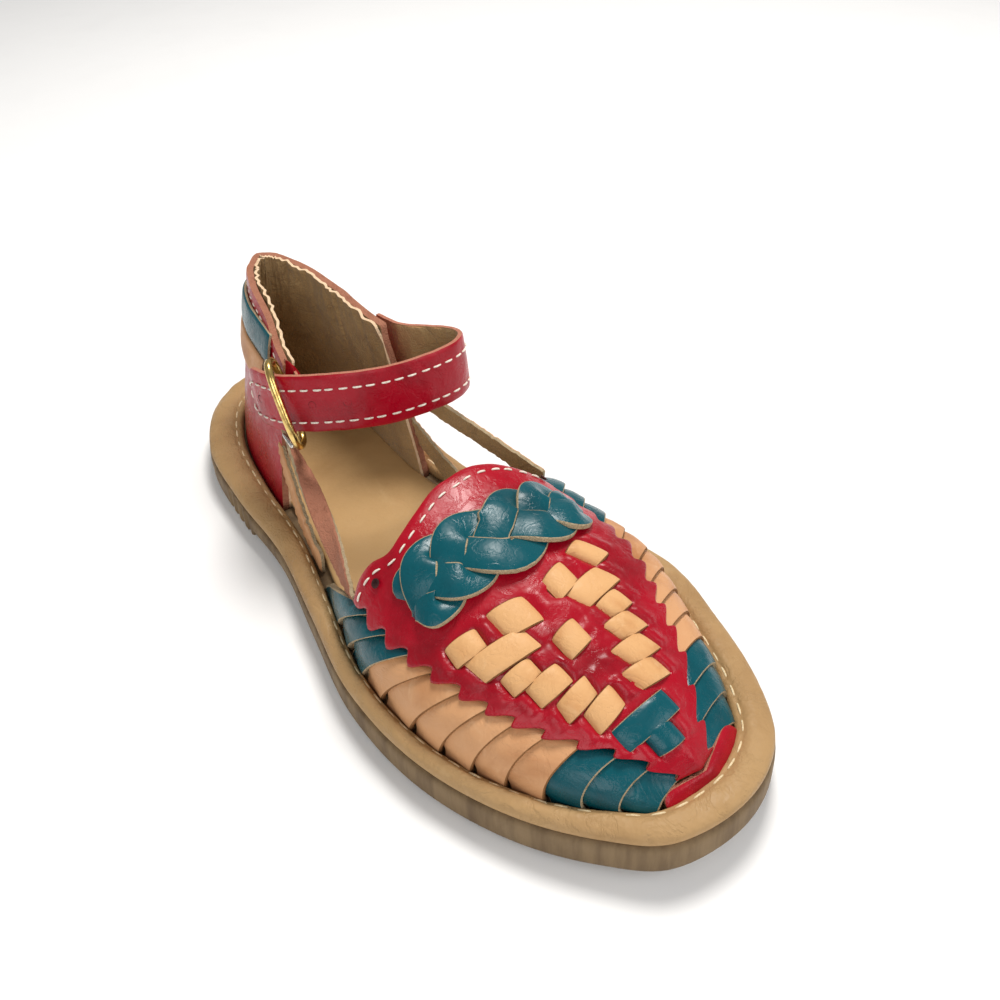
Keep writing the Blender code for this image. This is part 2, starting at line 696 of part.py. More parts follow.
def square_bodies():
    """Every woven square as a low plate sunk into the shield."""
    bm = bmesh.new()
    for share, turn, heading, skew, length, breadth in SQUARES:
        centre = last_surface(share, turn)
        normal = Vector(last_normal(share, turn))
        forward = Vector(last_surface(share + 0.01, turn) - centre)
        forward = (forward - normal * forward.dot(normal)).normalized()
        forward.rotate(Matrix.Rotation(math.radians(heading + 90), 3, normal))
        sideways = normal.cross(forward)
        frame = Matrix((forward, sideways, normal)).transposed().to_4x4()
        middle = Vector(centre) + normal * (SQUARE_LIFT - SQUARE_SINK) / 2
        tall = SQUARE_LIFT + SQUARE_SINK
        size = Matrix.Diagonal((length, breadth, tall, 1))
        made = bmesh.ops.create_cube(bm, size=1, matrix=Matrix.Translation(middle) @ frame @ size)
        top = [v for v in made["verts"] if (v.co - middle).dot(normal) > 0]
        for v in top:
            v.co = v.co + (middle - v.co).dot(forward) * forward * 0.22
            v.co = v.co + (middle - v.co).dot(sideways) * sideways * 0.16
        for v in made["verts"]:
            v.co = v.co - (v.co - middle).dot(sideways) * forward * math.tan(math.radians(skew))
    return bm


# The heel counter: a U-shaped wall that narrows and leans towards the medial side

def counter_base(round_share):
    """Plan points of the seam from the medial front (-1) round the heel to the lateral front."""
    lateral, _ = places_at(COUNTER_LATERAL_REACH)
    _, medial = places_at(COUNTER_MEDIAL_REACH)
    round_share = np.asarray(round_share, float)
    where = np.where(round_share >= 0, round_share * lateral, round_share * (LOOP_COUNT - medial))
    return edge_at(where.ravel(), 0.0, 1.0).reshape(round_share.shape + (2,))


def counter_surface(round_share, height):
    """Points of the counter at a way round and a height above the ground."""
    plan = counter_base(round_share)
    rise = np.clip((height - OUTSOLE_THICKNESS) / (COUNTER_HEIGHT - OUTSOLE_THICKNESS), 0, 1.1)
    back = 1 - smooth_step(plan[..., 1] / (0.16 * SHOE_LENGTH))
    front = smooth_step((plan[..., 1] / SHOE_LENGTH - 0.16) / 0.15)
    narrowing = np.where(plan[..., 0] > 0, COUNTER_LATERAL_NARROWING, COUNTER_MEDIAL_NARROWING)
    x = plan[..., 0] * (1 - narrowing * rise ** 1.3) - COUNTER_SIDE_SHIFT * rise
    slant = np.where(plan[..., 0] > 0, COUNTER_LATERAL_SLANT, COUNTER_MEDIAL_SLANT)
    y = plan[..., 1] + COUNTER_BACK_SHIFT * back * rise ** 1.5 - slant * front * rise
    return np.stack([x, y, height + 0 * x], axis=-1)


def on_counter(round_share, height, offset):
    """Points at a distance outside the counter's surface."""
    step = 0.004
    past = counter_surface(round_share + step, height) - counter_surface(round_share - step, height)
    above = counter_surface(round_share, height + MM) - counter_surface(round_share, height - MM)
    normal = np.cross(past, above)
    normal[..., 2] = normal[..., 2] * smooth_step((height - OUTSOLE_THICKNESS) / (10 * MM))
    normal = normal / np.linalg.norm(normal, axis=-1, keepdims=True)
    return counter_surface(round_share, height) + normal * np.asarray(offset)[..., None]


def counter_body():
    """The heel counter's wall."""
    ways = np.concatenate([np.linspace(-1, -0.5, 7)[:-1], np.linspace(-0.5, 0.5, 15)[:-1],
                           np.linspace(0.5, 1, 6)])
    levels = np.array([0.0, 0.07, 0.25, 0.45, 0.65, 0.83, 1.0])
    top = read_table(COUNTER_TOP, COUNTER_TOP_COLUMNS, "round", "height", ways) * COUNTER_HEIGHT
    base = OUTSOLE_THICKNESS + FIT_GAP
    heights = base + levels[:, None] * (top[None, :] - base)
    around = np.tile(ways, (len(levels), 1))
    outer = on_counter(around, heights, np.full(around.shape, -FIT_GAP))
    inner = on_counter(around, heights, np.full(around.shape, -FIT_GAP - WALL))
    keep = np.ones((len(levels) - 1, len(ways) - 1), bool)
    return shell(outer, inner, keep)


def band_body(height, reach):
    """A band laced round the back of the counter, standing just off its wall."""
    lateral, medial = places_at(reach)
    lateral_reach, _ = places_at(COUNTER_LATERAL_REACH)
    _, medial_reach = places_at(COUNTER_MEDIAL_REACH)
    first = -(LOOP_COUNT - medial) / (LOOP_COUNT - medial_reach)
    ways = np.linspace(first, lateral / lateral_reach, 27)
    levels = height + np.array([-0.5, 0.0, 0.5]) * BAND_WIDTH
    around = np.tile(ways, (len(levels), 1))
    heights = np.tile(levels[:, None], (1, len(ways)))
    inner = on_counter(around, heights, np.full(around.shape, 0.0))
    outer = on_counter(around, heights, np.full(around.shape, BAND_THICKNESS))
    return shell(outer, inner, np.ones((len(levels) - 1, len(ways) - 1), bool))


def braid_strand(number):
    """One strip of the plait, wandering from edge to edge over and under the others."""
    line = catmull(BRAID_LINE, BRAID_SECTIONS)
    run = np.linspace(0, 1, BRAID_SECTIONS)
    phase = 2 * math.pi * (run * BRAID_TURNS + number / BRAID_STRANDS)
    swing = (BRAID_WIDTH - BRAID_STRIP) / 2
    fade = smooth_step(np.minimum(run, 1 - run) / 0.16)
    share = line[:, 0] + swing * (0.6 + 0.4 * fade) * np.sin(phase) / (SHOE_LENGTH - THROAT_LATERAL)
    turn = line[:, 1]
    height = SHIELD_LIFT + BRAID_SWING * (0.15 + (1 + np.sin(2 * phase)) * (0.2 + 0.8 * fade))
    centre = on_last(share, turn, height)
    ahead = np.gradient(centre, axis=0)
    ahead = ahead / np.linalg.norm(ahead, axis=1)[:, None]
    normal = last_normal(share, turn)
    side = np.cross(ahead, normal)
    step = 0.004
    rings = []
    for k in range(BRAID_SECTIONS):
        along = (last_surface(share[k] + step, turn[k]) - last_surface(share[k] - step, turn[k])) / (2 * step)
        over = (last_surface(share[k], turn[k] + step) - last_surface(share[k], turn[k] - step)) / (2 * step)
        slope = np.linalg.pinv(np.column_stack([along, over])) @ side[k]
        ring = []
        for across, tall in ((-1.0, 0.0), (-0.96, 0.5), (-0.62, 0.9), (0.0, 1.0), (0.62, 0.9), (0.96, 0.5),
                             (1.0, 0.0), (0.0, 0.0)):
            move = slope * across * BRAID_STRIP / 2 * (0.62 + 0.38 * fade[k])
            ring.append(on_last(share[k] + move[0], turn[k] + move[1], height[k] + tall * BRAID_THICKNESS))
        rings.append(ring)
    return loft(rings)


def strap_points(points):
    """Points by hand, given forward of the counter's lateral edge, in the heel's frame."""
    return np.array(points) * MM + np.array([0, COUNTER_LATERAL_REACH, 0])


def ankle_strap_body():
    """The strap that goes round the ankle, its lower edge leaning a little outwards."""
    line = strap_points(STRAP_LINE)
    return ribbon(line, STRAP_WIDTH, STRAP_THICKNESS, (-STRAP_LEAN * 0.35, -STRAP_LEAN, 1), 65, True)


def make_braid(parts, tools, material):
    """The plait across the vamp, its strips joined where they cross."""
    braid = new_object("braid", mesh_from(braid_strand(0), "braid"), parts, material)
    for number in range(1, BRAID_STRANDS):
        name = "braid_strip_" + str(number)
        add_boolean(braid, new_object(name, mesh_from(braid_strand(number), name), tools), "UNION")


def buckle_frame_axes():
    """Centre, upright and across directions of the buckle."""
    centre = Vector(strap_points(BUCKLE_CENTRE))
    upright = Vector(BUCKLE_UPRIGHT).normalized()
    across = Vector(BUCKLE_ACROSS)
    across = (across - upright * across.dot(upright)).normalized()
    return centre, upright, across


def buckle_frame_curve():
    """The buckle's frame: a rounded loop of wire round the strap."""
    centre, upright, across = buckle_frame_axes()
    half_long = BUCKLE_LENGTH / 2 - BUCKLE_WIRE
    half_wide = BUCKLE_BREADTH / 2 - BUCKLE_WIRE
    data = bpy.data.curves.new("buckle_frame", "CURVE")
    data.dimensions = "3D"
    data.bevel_depth = BUCKLE_WIRE
    data.bevel_resolution = 2
    spline = data.splines.new("POLY")
    count = 28
    spline.points.add(count - 1)
    for k in range(count):
        angle = 2 * math.pi * k / count
        wide = math.copysign(abs(math.cos(angle)) ** 0.7, math.cos(angle)) * half_wide
        tall = math.copysign(abs(math.sin(angle)) ** 0.7, math.sin(angle)) * half_long
        place = centre + across * wide + upright * tall
        spline.points[k].co = (*place, 1)
    spline.use_cyclic_u = True
    return data


def add_boolean(target, other, operation):
    """Join or cut one solid with another."""
    cut = target.modifiers.new(operation.lower() + "_" + other.name, "BOOLEAN")
    cut.operation = operation
    cut.solver = "EXACT"
    cut.use_self = True
    cut.object = other
    other.hide_render = True
    other.display_type = "WIRE"
    return cut


def make_material(name, colour, roughness, metallic=0.0):
    """A plain finish in the piece's own colour."""
    material = bpy.data.materials.new(name)
    material.use_nodes = True
    shader = material.node_tree.nodes["Principled BSDF"]
    shader.inputs["Base Color"].default_value = (*colour, 1)
    shader.inputs["Roughness"].default_value = roughness
    shader.inputs["Metallic"].default_value = metallic
    return material


def make_outsole(parts, material):
    """The rubber slab with its heel, ribs and toe spring."""
    stations = sole_stations(22)
    lateral, medial = places_at(np.array(stations))
    where = np.concatenate([[0], lateral, [TOE_INDEX], medial[::-1]])
    along = np.concatenate([[0], stations, [SHOE_LENGTH], stations[::-1]])
    ribs = rib_depth(along)
    bottom = sole_bottom(along)
    top = sole_top(along)
    levels = [
        (bottom, OUTSOLE_EDGE_ROUND + 0.5 * ribs),
        (bottom + OUTSOLE_EDGE_ROUND, 0.25 * OUTSOLE_EDGE_ROUND + ribs),
        (0.55 * bottom + 0.45 * top, ribs),
        (top - 1.1 * MM, 0.1 * MM + 0.3 * ribs),
        (top, 0.5 * MM),
    ]
    rings = []
    for height, inset in levels:
        plan = edge_at(where, inset)
        rings.append([(p[0], p[1], h) for p, h in zip(plan, height + 0 * along)])
    return new_object("outsole", mesh_from(slab(rings), "outsole"), parts, material)


def make_rim(parts, material):
    """The padded, leather-wrapped rim on the outsole's edge."""
    profile = [(0.06, 0.00), (0.00, 0.28), (0.05, 0.62), (0.22, 0.90), (0.48, 1.00),
               (0.76, 0.92), (0.95, 0.66), (1.00, 0.30), (1.00, 0.00)]
    where = np.concatenate([np.linspace(0, TOE_INDEX, 37)[:-1], np.linspace(TOE_INDEX, LOOP_COUNT, 37)[:-1]])
    plan = [edge_at(where, FIT_GAP * (1 - share), share) for share, _ in profile]
    base = sole_top(edge_at(where, 0.0)[:, 1]) + FIT_GAP
    rings = []
    for k in range(len(where)):
        rings.append([(points[k][0], points[k][1], base[k] + RIM_HEIGHT * high)
                      for points, (_, high) in zip(plan, profile)])
    return new_object("welt_rim", mesh_from(loft(rings, closed=True), "welt_rim"), parts, material)


def make_insole(parts, material):
    """The footbed inside the upper's seam."""
    count = 26
    stations = [0.5 * (1 - math.cos(math.pi * (k + 1) / (count + 1))) * SHOE_LENGTH for k in range(count)]
    lateral, medial = places_at(np.array(stations))
    where = np.concatenate([[0], lateral, [TOE_INDEX], medial[::-1]])
    inset = WALL + 3 * FIT_GAP
    rings = []
    for thickness, extra in ((0.0, 0.0), (0.6, 0.2 * MM), (1.0, 1.3 * MM)):
        plan = edge_at(where, inset + extra, 1.0)
        rings.append([(p[0], p[1], float(sole_top(p[1])) + FIT_GAP + INSOLE_THICKNESS * thickness)
                      for p in plan])
    return new_object("insole", mesh_from(slab(rings), "insole"), parts, material)


def make_upper(parts, tools, material):
    """Vamp, side strips, counter and laces joined into one hollow wall."""
    upper = new_object("upper", mesh_from(forefoot_body(), "upper"), parts, material)
    pieces = {"woven_squares": square_bodies(), "counter_wall": counter_body()}
    ends = {"lace_lateral_upper": LATERAL_LACE_END, "lace_medial_upper": MEDIAL_LACE_END}
    feet = {"lace_lateral_lower": places_at(LATERAL_LACE_FOOT)[0],
            "lace_medial_lower": places_at(MEDIAL_LACE_FOOT)[1]}
    count = 13
    for name, round_share, height, points in LACES:
        begin = on_counter(np.array(round_share), np.array(height), np.array(-FIT_GAP - WALL / 2))
        start, finish = np.array(LACE_START_UP), np.array(LACE_START_UP)
        if name in ends:
            bow = MEDIAL_BOW * 0.9 if ends[name][1] > 0.5 else 0.0
            closing = [on_last(*ends[name], bow - FIT_GAP - WALL / 2)]
        else:
            seam = edge_at(feet[name], FIT_GAP + WALL / 2, 1.0)[0]
            floor = float(sole_top(seam[1])) + FIT_GAP
            closing = [np.array([*seam, floor + LACE_SEAM_RISE]), np.array([*seam, floor + LACE_SEAM_FOOT])]
            finish = np.array([*loop_read(np.atleast_1d(feet[name]), LOOP_TANGENT)[0], 0])
            finish = finish * math.copysign(1, finish[1])
        line = [begin]
        for share, outward, upward in points:
            line.append(begin + (closing[0] - begin) * share + np.array([outward, 0, upward]))
        mix = np.linspace(0, 1, count)[:, None]
        upright = start + (finish - start) * mix
        pieces[name] = ribbon(line + closing, LACE_WIDTH, LACE_THICKNESS, upright, count)
    for name, bm in pieces.items():
        tool = new_object(name, mesh_from(bm, name), tools)
        add_boolean(upper, tool, "UNION")
    return upper


def make_buckle(parts, brass, steel, leather):
    """The frame round the strap, the tab that holds it and the prong lying against it."""
    curve = new_object("buckle_frame_wire", buckle_frame_curve(), parts)
    bpy.context.view_layer.update()
    evaluated = curve.evaluated_get(bpy.context.evaluated_depsgraph_get())
    data = bpy.data.meshes.new_from_object(evaluated)
    data.name = "buckle_frame"
    bpy.data.objects.remove(curve)
    new_object("buckle_frame", data, parts, brass)
    tab = ribbon(strap_points(TAB_LINE), TAB_WIDTH, TAB_THICKNESS, TAB_UPRIGHT, 21)
    new_object("buckle_tab", mesh_from(tab, "buckle_tab"), parts, leather)
    centre, upright, across = buckle_frame_axes()
    outward = across.cross(upright)
    foot = centre - upright * (BUCKLE_LENGTH / 2 - BUCKLE_WIRE)
    foot = foot + outward * (BUCKLE_WIRE + FIT_GAP + PRONG_RADIUS)
    tip = Vector(strap_points(PRONG_TIP))
    ahead = (tip - foot).normalized()
    side = ahead.cross(upright).normalized()
    over = side.cross(ahead)
    rings = []
    for share, radius in ((0.0, 0.7 * PRONG_RADIUS), (0.06, PRONG_RADIUS), (0.7, 0.8 * PRONG_RADIUS),
                          (1.0, PRONG_TIP_RADIUS)):
        middle = foot + (tip - foot) * share
        turns = [2 * math.pi * k / 8 for k in range(8)]
        rings.append([middle + (side * math.cos(a) + over * math.sin(a)) * radius for a in turns])
    new_object("buckle_prong", mesh_from(loft(rings), "buckle_prong"), parts, steel)


def main():
    """Build every piece of the sandal."""
    for thing in list(bpy.data.objects):
        bpy.data.objects.remove(thing)
    parts = bpy.data.collections.new("huarache sandal")
    tools = bpy.data.collections.new("joining shapes")
    bpy.context.scene.collection.children.link(parts)
    bpy.context.scene.collection.children.link(tools)
    root = bpy.data.objects.new("sandal", None)
    root.location = (0, -SHOE_LENGTH / 2, 0)
    parts.objects.link(root)
    rubber = make_material("tan_rubber", (0.26, 0.17, 0.09), 0.7)
    rim_leather = make_material("rim_leather", (0.58, 0.38, 0.18), 0.55)
    footbed = make_material("footbed_leather", (0.55, 0.36, 0.16), 0.6)
    red = make_material("red_leather", (0.60, 0.01, 0.03), 0.35)
    teal = make_material("teal_leather", (0.0, 0.14, 0.20), 0.35)
    natural = make_material("natural_leather", (0.78, 0.46, 0.24), 0.5)
    brass = make_material("brass", (0.45, 0.30, 0.08), 0.3, 1.0)
    steel = make_material("pale_steel", (0.55, 0.55, 0.55), 0.3, 1.0)
    make_outsole(parts, rubber)
    make_rim(parts, rim_leather)
    make_insole(parts, footbed)
    make_upper(parts, tools, red)
    make_braid(parts, tools, teal)
    new_object("counter_band_teal", mesh_from(band_body(TEAL_BAND_HEIGHT, TEAL_BAND_REACH), "band_teal"),
               parts, teal)
    new_object("counter_band_natural",
               mesh_from(band_body(NATURAL_BAND_HEIGHT, NATURAL_BAND_REACH), "band_natural"),
               parts, natural)
    new_object("ankle_strap", mesh_from(ankle_strap_body(), "ankle_strap"), parts, red)
    make_buckle(parts, brass, steel, red)


main()
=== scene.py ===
# %% [markdown]
# # A woven leather sandal, piece by piece
# This lesson dresses a plain model of a child's huarache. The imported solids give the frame: every
# size below is in metres, +Y points to the toe, +X to the outer side, and the sole stands on Z = 0.
# The solids stay as they are, and finer pieces of leather, thread and brass take their places.

# %% Load the frame
import math

import bmesh
import bpy
import numpy as np
from mathutils import Matrix, Vector, noise


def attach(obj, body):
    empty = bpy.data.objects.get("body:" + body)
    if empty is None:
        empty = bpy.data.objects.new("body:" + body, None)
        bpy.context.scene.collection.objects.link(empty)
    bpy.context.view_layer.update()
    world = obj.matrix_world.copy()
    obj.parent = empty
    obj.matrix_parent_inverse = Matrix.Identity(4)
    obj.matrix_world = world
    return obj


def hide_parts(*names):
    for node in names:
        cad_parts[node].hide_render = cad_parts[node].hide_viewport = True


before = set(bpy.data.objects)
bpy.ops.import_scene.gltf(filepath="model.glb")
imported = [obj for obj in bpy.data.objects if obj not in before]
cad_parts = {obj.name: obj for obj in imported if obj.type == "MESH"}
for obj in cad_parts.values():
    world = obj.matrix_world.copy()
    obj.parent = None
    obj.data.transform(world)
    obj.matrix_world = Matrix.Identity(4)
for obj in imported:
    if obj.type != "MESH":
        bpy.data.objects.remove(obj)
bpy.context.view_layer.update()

MM = 0.001

# %% [markdown]
# ## The camera and the light
# The photograph looks down on the outer side of the toe from about 30 cm away, so the toe is much
# larger than the heel. A camera put at the same place in the world gives the same perspective. The
# photograph is cropped, so the lens is shifted a little.

# %% Camera
camera = bpy.data.objects.new("camera", bpy.data.cameras.new("camera"))
bpy.context.scene.collection.objects.link(camera)
bpy.context.scene.camera = camera
camera.location = (0.1041, 0.1606, 0.2023)
camera.rotation_euler = [math.radians(a) for a in (59.90, 1.41, 138.54)]
camera.data.sensor_width = 36
camera.data.lens = 37.97
camera.data.shift_x = -0.028
camera.data.shift_y = -0.247
camera.data.clip_start = 0.005

# %% [markdown]
# Large area lamps give soft edges to the shadows and long, soft highlights on the glossy leather.
# The key lamp hangs behind the heel, so its highlights lie on the plait and on the crown of the vamp.

# %% Lamps and world
def soft_lamp(name, place, aim, size, watts, colour=(1, 1, 1)):
    lamp = bpy.data.objects.new(name, bpy.data.lights.new(name, "AREA"))
    bpy.context.scene.collection.objects.link(lamp)
    lamp.data.shape = "DISK"
    lamp.data.size = size
    lamp.data.energy = watts
    lamp.data.color = colour
    lamp.location = place
    lamp.rotation_euler = (Vector(aim) - Vector(place)).to_track_quat("-Z", "Y").to_euler()


soft_lamp("key", (-0.25, -0.15, 0.75), (0, 0, 0.02), 0.30, 5.6, (1.0, 0.97, 0.93))
soft_lamp("front_fill", (0.55, 0.45, 0.45), (0, 0, 0.03), 0.6, 2.3)
soft_lamp("toe_fill", (-0.30, 0.60, 0.40), (0, 0, 0.03), 0.5, 1.6)
world = bpy.data.worlds.new("studio")
bpy.context.scene.world = world
world.use_nodes = True
sky = world.node_tree.nodes["Background"].inputs
sky["Color"].default_value = (1.0, 1.0, 1.0, 1)
sky["Strength"].default_value = 0.30
bpy.context.scene.view_settings.view_transform = "Standard"

# %% [markdown]
# ## Shader groups
# Every leather here has the same kinds of detail at different scales: pores, creases, uneven dye and
# gloss that wear has dulled. Each is one node group with named inputs, so a material only picks values.

# %% Group helpers
def new_group(name, inputs, outputs):
    group = bpy.data.node_groups.new(name, "ShaderNodeTree")
    kinds = {"value": "NodeSocketFloat", "colour": "NodeSocketColor"}
    for label, kind, default in inputs:
        socket = group.interface.new_socket(label, in_out="INPUT", socket_type=kinds[kind])
        socket.default_value = default
    for label, kind in outputs:
        group.interface.new_socket(label, in_out="OUTPUT", socket_type=kinds[kind])
    start = group.nodes.new("NodeGroupInput")
    end = group.nodes.new("NodeGroupOutput")
    place = group.nodes.new("ShaderNodeTexCoord").outputs["Object"]
    return group, start.outputs, end.inputs, place


def feed(tree, socket, value):
    """Puts a number or a colour on a socket, or links another node's output to it."""
    if isinstance(value, (int, float)):
        socket.default_value = value
    elif isinstance(value, tuple):
        socket.default_value = (*value, 1)
    else:
        tree.links.new(value, socket)


def math_node(tree, operation, *values):
    node = tree.nodes.new("ShaderNodeMath")
    node.operation = operation
    for socket, value in zip(node.inputs, values):
        feed(tree, socket, value)
    return node.outputs[0]


def noise_node(tree, place, scale, detail, rough, warp=0.0):
    node = tree.nodes.new("ShaderNodeTexNoise")
    labels = ("Vector", "Scale", "Detail", "Roughness", "Distortion")
    for label, value in zip(labels, (place, scale, detail, rough, warp)):
        feed(tree, node.inputs[label], value)
    return node.outputs["Fac"]


def ramp_node(tree, value, low, high, start=0.0, end=1.0):
    node = tree.nodes.new("ShaderNodeMapRange")
    node.interpolation_type = "SMOOTHSTEP"
    labels = ("Value", "From Min", "From Max", "To Min", "To Max")
    for label, number in zip(labels, (value, low, high, start, end)):
        feed(tree, node.inputs[label], number)
    return node.outputs["Result"]


def mix_colour(tree, factor, first, second):
    node = tree.nodes.new("ShaderNodeMix")
    node.data_type = "RGBA"
    sockets = (node.inputs["Factor"], node.inputs[6], node.inputs[7])
    for socket, value in zip(sockets, (factor, first, second)):
        feed(tree, socket, value)
    return node.outputs[2]


# %% [markdown]
# Grain is made of small cells, as the pores of cowhide are, under a few long soft creases. Both leave
# the group as one height, and each material's own Bump node turns it into a normal.

# %% Grain group
grain, grain_in, grain_out, spot = new_group(
    "leather grain", [("Cells", "value", 900.0), ("Pores", "value", 0.5), ("Creases", "value", 0.5),
                      ("Crease scale", "value", 120.0)], [("Height", "value")])
cells = grain.nodes.new("ShaderNodeTexVoronoi")
grain.links.new(spot, cells.inputs["Vector"])
grain.links.new(grain_in["Cells"], cells.inputs["Scale"])
pores = math_node(grain, "MULTIPLY", cells.outputs["Distance"], grain_in["Pores"])
fold = noise_node(grain, spot, grain_in["Crease scale"], 5.0, 0.6, 1.4)
ridge = math_node(grain, "ABSOLUTE", math_node(grain, "SUBTRACT", fold, 0.5))
ridge = ramp_node(grain, ridge, 0.0, 0.06)
creases = math_node(grain, "MULTIPLY", ridge, grain_in["Creases"])
grain.links.new(math_node(grain, "ADD", pores, creases), grain_out["Height"])

# %% [markdown]
# Dye is never even. Two noises of different size mix a deeper and a paler tone into the main colour
# in random patches. The paler patches are partly worn dye and partly painted highlight.

# %% Dye group
dye, dye_in, dye_out, spot = new_group(
    "uneven dye", [("Main", "colour", (0.5, 0.5, 0.5, 1)), ("Deep", "colour", (0.2, 0.2, 0.2, 1)),
                   ("Pale", "colour", (0.8, 0.8, 0.8, 1)), ("Blotches", "value", 60.0),
                   ("Deep share", "value", 0.5), ("Pale share", "value", 0.3)], [("Colour", "colour")])
pool = ramp_node(dye, noise_node(dye, spot, dye_in["Blotches"], 5.0, 0.6, 0.4), 0.45, 0.75)
wear_and_highlight_scale = math_node(dye, "MULTIPLY", dye_in["Blotches"], 3.3)
wear_and_highlight = ramp_node(dye, noise_node(dye, spot, wear_and_highlight_scale, 6.0, 0.65, 0.8), 0.55, 0.8)
deep = math_node(dye, "MULTIPLY", pool, dye_in["Deep share"])
toned = mix_colour(dye, deep, dye_in["Main"], dye_in["Deep"])
# The pale tone: worn dye, and partly painted highlight, pink on the red hide.
pale = math_node(dye, "MULTIPLY", wear_and_highlight, dye_in["Pale share"])
toned = mix_colour(dye, pale, toned, dye_in["Pale"])
dye.links.new(toned, dye_out["Colour"])

# %% [markdown]
# Worn gloss moves the roughness up and down between two values, in smears a few millimetres long.

# %% Gloss group
gloss, gloss_in, gloss_out, spot = new_group(
    "worn gloss", [("Smooth", "value", 0.3), ("Rough", "value", 0.6), ("Smears", "value", 180.0)],
    [("Roughness", "value")])
smear = ramp_node(gloss, noise_node(gloss, spot, gloss_in["Smears"], 5.0, 0.6, 0.6), 0.35, 0.7)
span = math_node(gloss, "SUBTRACT", gloss_in["Rough"], gloss_in["Smooth"])
gloss.links.new(math_node(gloss, "MULTIPLY_ADD", smear, span, gloss_in["Smooth"]), gloss_out["Roughness"])


# %% [markdown]
# ## Leather, thread, rubber and metal
# One recipe makes every leather: dye feeds the colour, worn gloss the roughness and grain the bump.
# Its three colours are the main, the deep and the pale tone, and the two numbers after them are the
# roughness of the smooth and of the worn places.

# %% Leather recipe
def new_finish(name):
    material = bpy.data.materials.new(name)
    material.use_nodes = True
    tree = material.node_tree
    return material, tree, tree.nodes["Principled BSDF"].inputs


def add_bump(tree, shader, height, strength, depth):
    lift = tree.nodes.new("ShaderNodeBump")
    lift.inputs["Strength"].default_value = strength
    lift.inputs["Distance"].default_value = depth
    tree.links.new(height, lift.inputs["Height"])
    tree.links.new(lift.outputs["Normal"], shader["Normal"])


def place_group(tree, group, *values):
    """Adds a group to a material, with values for its inputs in their own order."""
    node = tree.nodes.new("ShaderNodeGroup")
    node.node_tree = group
    for socket, value in zip(node.inputs, values):
        feed(tree, socket, value)
    return node.outputs[0]


def leather(name, main, deep, pale, smooth, rough, pores=0.4, creases=0.5, crease_scale=120.0, cells=1100.0,
            bump=0.35, blotches=60.0, deep_share=0.5, pale_share=0.3, sheen=0.0, coat=0.0):
    material, tree, shader = new_finish(name)
    colour = place_group(tree, dye, main, deep, pale, blotches, deep_share, pale_share)
    tree.links.new(colour, shader["Base Color"])
    tree.links.new(place_group(tree, gloss, smooth, rough), shader["Roughness"])
    height = place_group(tree, grain, cells, pores, creases, crease_scale)
    add_bump(tree, shader, height, bump, 0.6 * MM)
    shader["Sheen Weight"].default_value = sheen
    shader["Coat Weight"].default_value = coat
    shader["Coat Roughness"].default_value = 0.25
    shader["Specular IOR Level"].default_value = 0.24
    return material


# The red hide's pale pink tone is partly worn dye and partly painted highlight.
red_hide = leather(
    "red_hide", (0.37, 0.0015, 0.013), (0.17, 0.001, 0.005), (0.62, 0.05, 0.08), 0.24, 0.44,
    pores=0.22, creases=0.6, crease_scale=150.0, bump=0.20, deep_share=0.7, pale_share=0.16, coat=0.12)
teal_hide = leather(
    "teal_hide", (0.0003, 0.076, 0.098), (0.0003, 0.022, 0.032), (0.008, 0.15, 0.17), 0.22, 0.38,
    pores=0.22, creases=0.5, crease_scale=150.0, bump=0.20, pale_share=0.18, coat=0.12)
natural_hide = leather(
    "natural_hide", (0.62, 0.325, 0.155), (0.38, 0.140, 0.045), (0.78, 0.52, 0.31), 0.42, 0.62,
    pores=0.25, creases=0.35, bump=0.28, blotches=45.0, deep_share=0.85, pale_share=0.45)
square_hide = leather(
    "square_hide", (0.68, 0.38, 0.165), (0.48, 0.20, 0.065), (0.80, 0.55, 0.30), 0.42, 0.60,
    pores=0.25, creases=0.35, bump=0.28, blotches=70.0, deep_share=0.85, pale_share=0.45)
cut_edge = leather(
    "cut_edge", (0.44, 0.34, 0.21), (0.22, 0.15, 0.08), (0.66, 0.54, 0.38), 0.8, 0.95,
    pores=0.9, creases=0.4, cells=2600.0, bump=0.6, blotches=500.0)
# A dark brown cut edge for the natural strips and squares: partly the leather's own edge colour, partly
# painted shade standing in for the shadow in the slits and under the strips' proud edges.
brown_edge_painted_shade = leather(
    "brown_edge_painted_shade", (0.27, 0.125, 0.045), (0.14, 0.055, 0.018), (0.44, 0.25, 0.11), 0.75, 0.95,
    pores=0.9, creases=0.4, cells=2600.0, bump=0.5, blotches=500.0)
red_cut_edge = leather(
    "red_cut_edge", (0.50, 0.20, 0.13), (0.30, 0.09, 0.05), (0.66, 0.38, 0.28), 0.75, 0.95,
    pores=0.9, creases=0.4, cells=2600.0, bump=0.6, blotches=420.0)
flesh = leather(
    "flesh_side", (0.36, 0.15, 0.09), (0.22, 0.075, 0.04), (0.52, 0.28, 0.18), 0.7, 0.9,
    pores=0.7, creases=0.5, cells=2200.0, bump=0.5, blotches=260.0)
cream_edge = leather(
    "cream_edge", (0.76, 0.55, 0.36), (0.55, 0.36, 0.20), (0.88, 0.72, 0.54), 0.7, 0.9,
    pores=0.6, creases=0.5, cells=2200.0, bump=0.4, blotches=300.0)
suede = leather(
    "suede_lining", (0.40, 0.26, 0.12), (0.18, 0.10, 0.04), (0.58, 0.42, 0.22), 0.75, 0.92,
    pores=0.7, creases=1.0, crease_scale=70.0, cells=1800.0, bump=0.55, sheen=0.10)
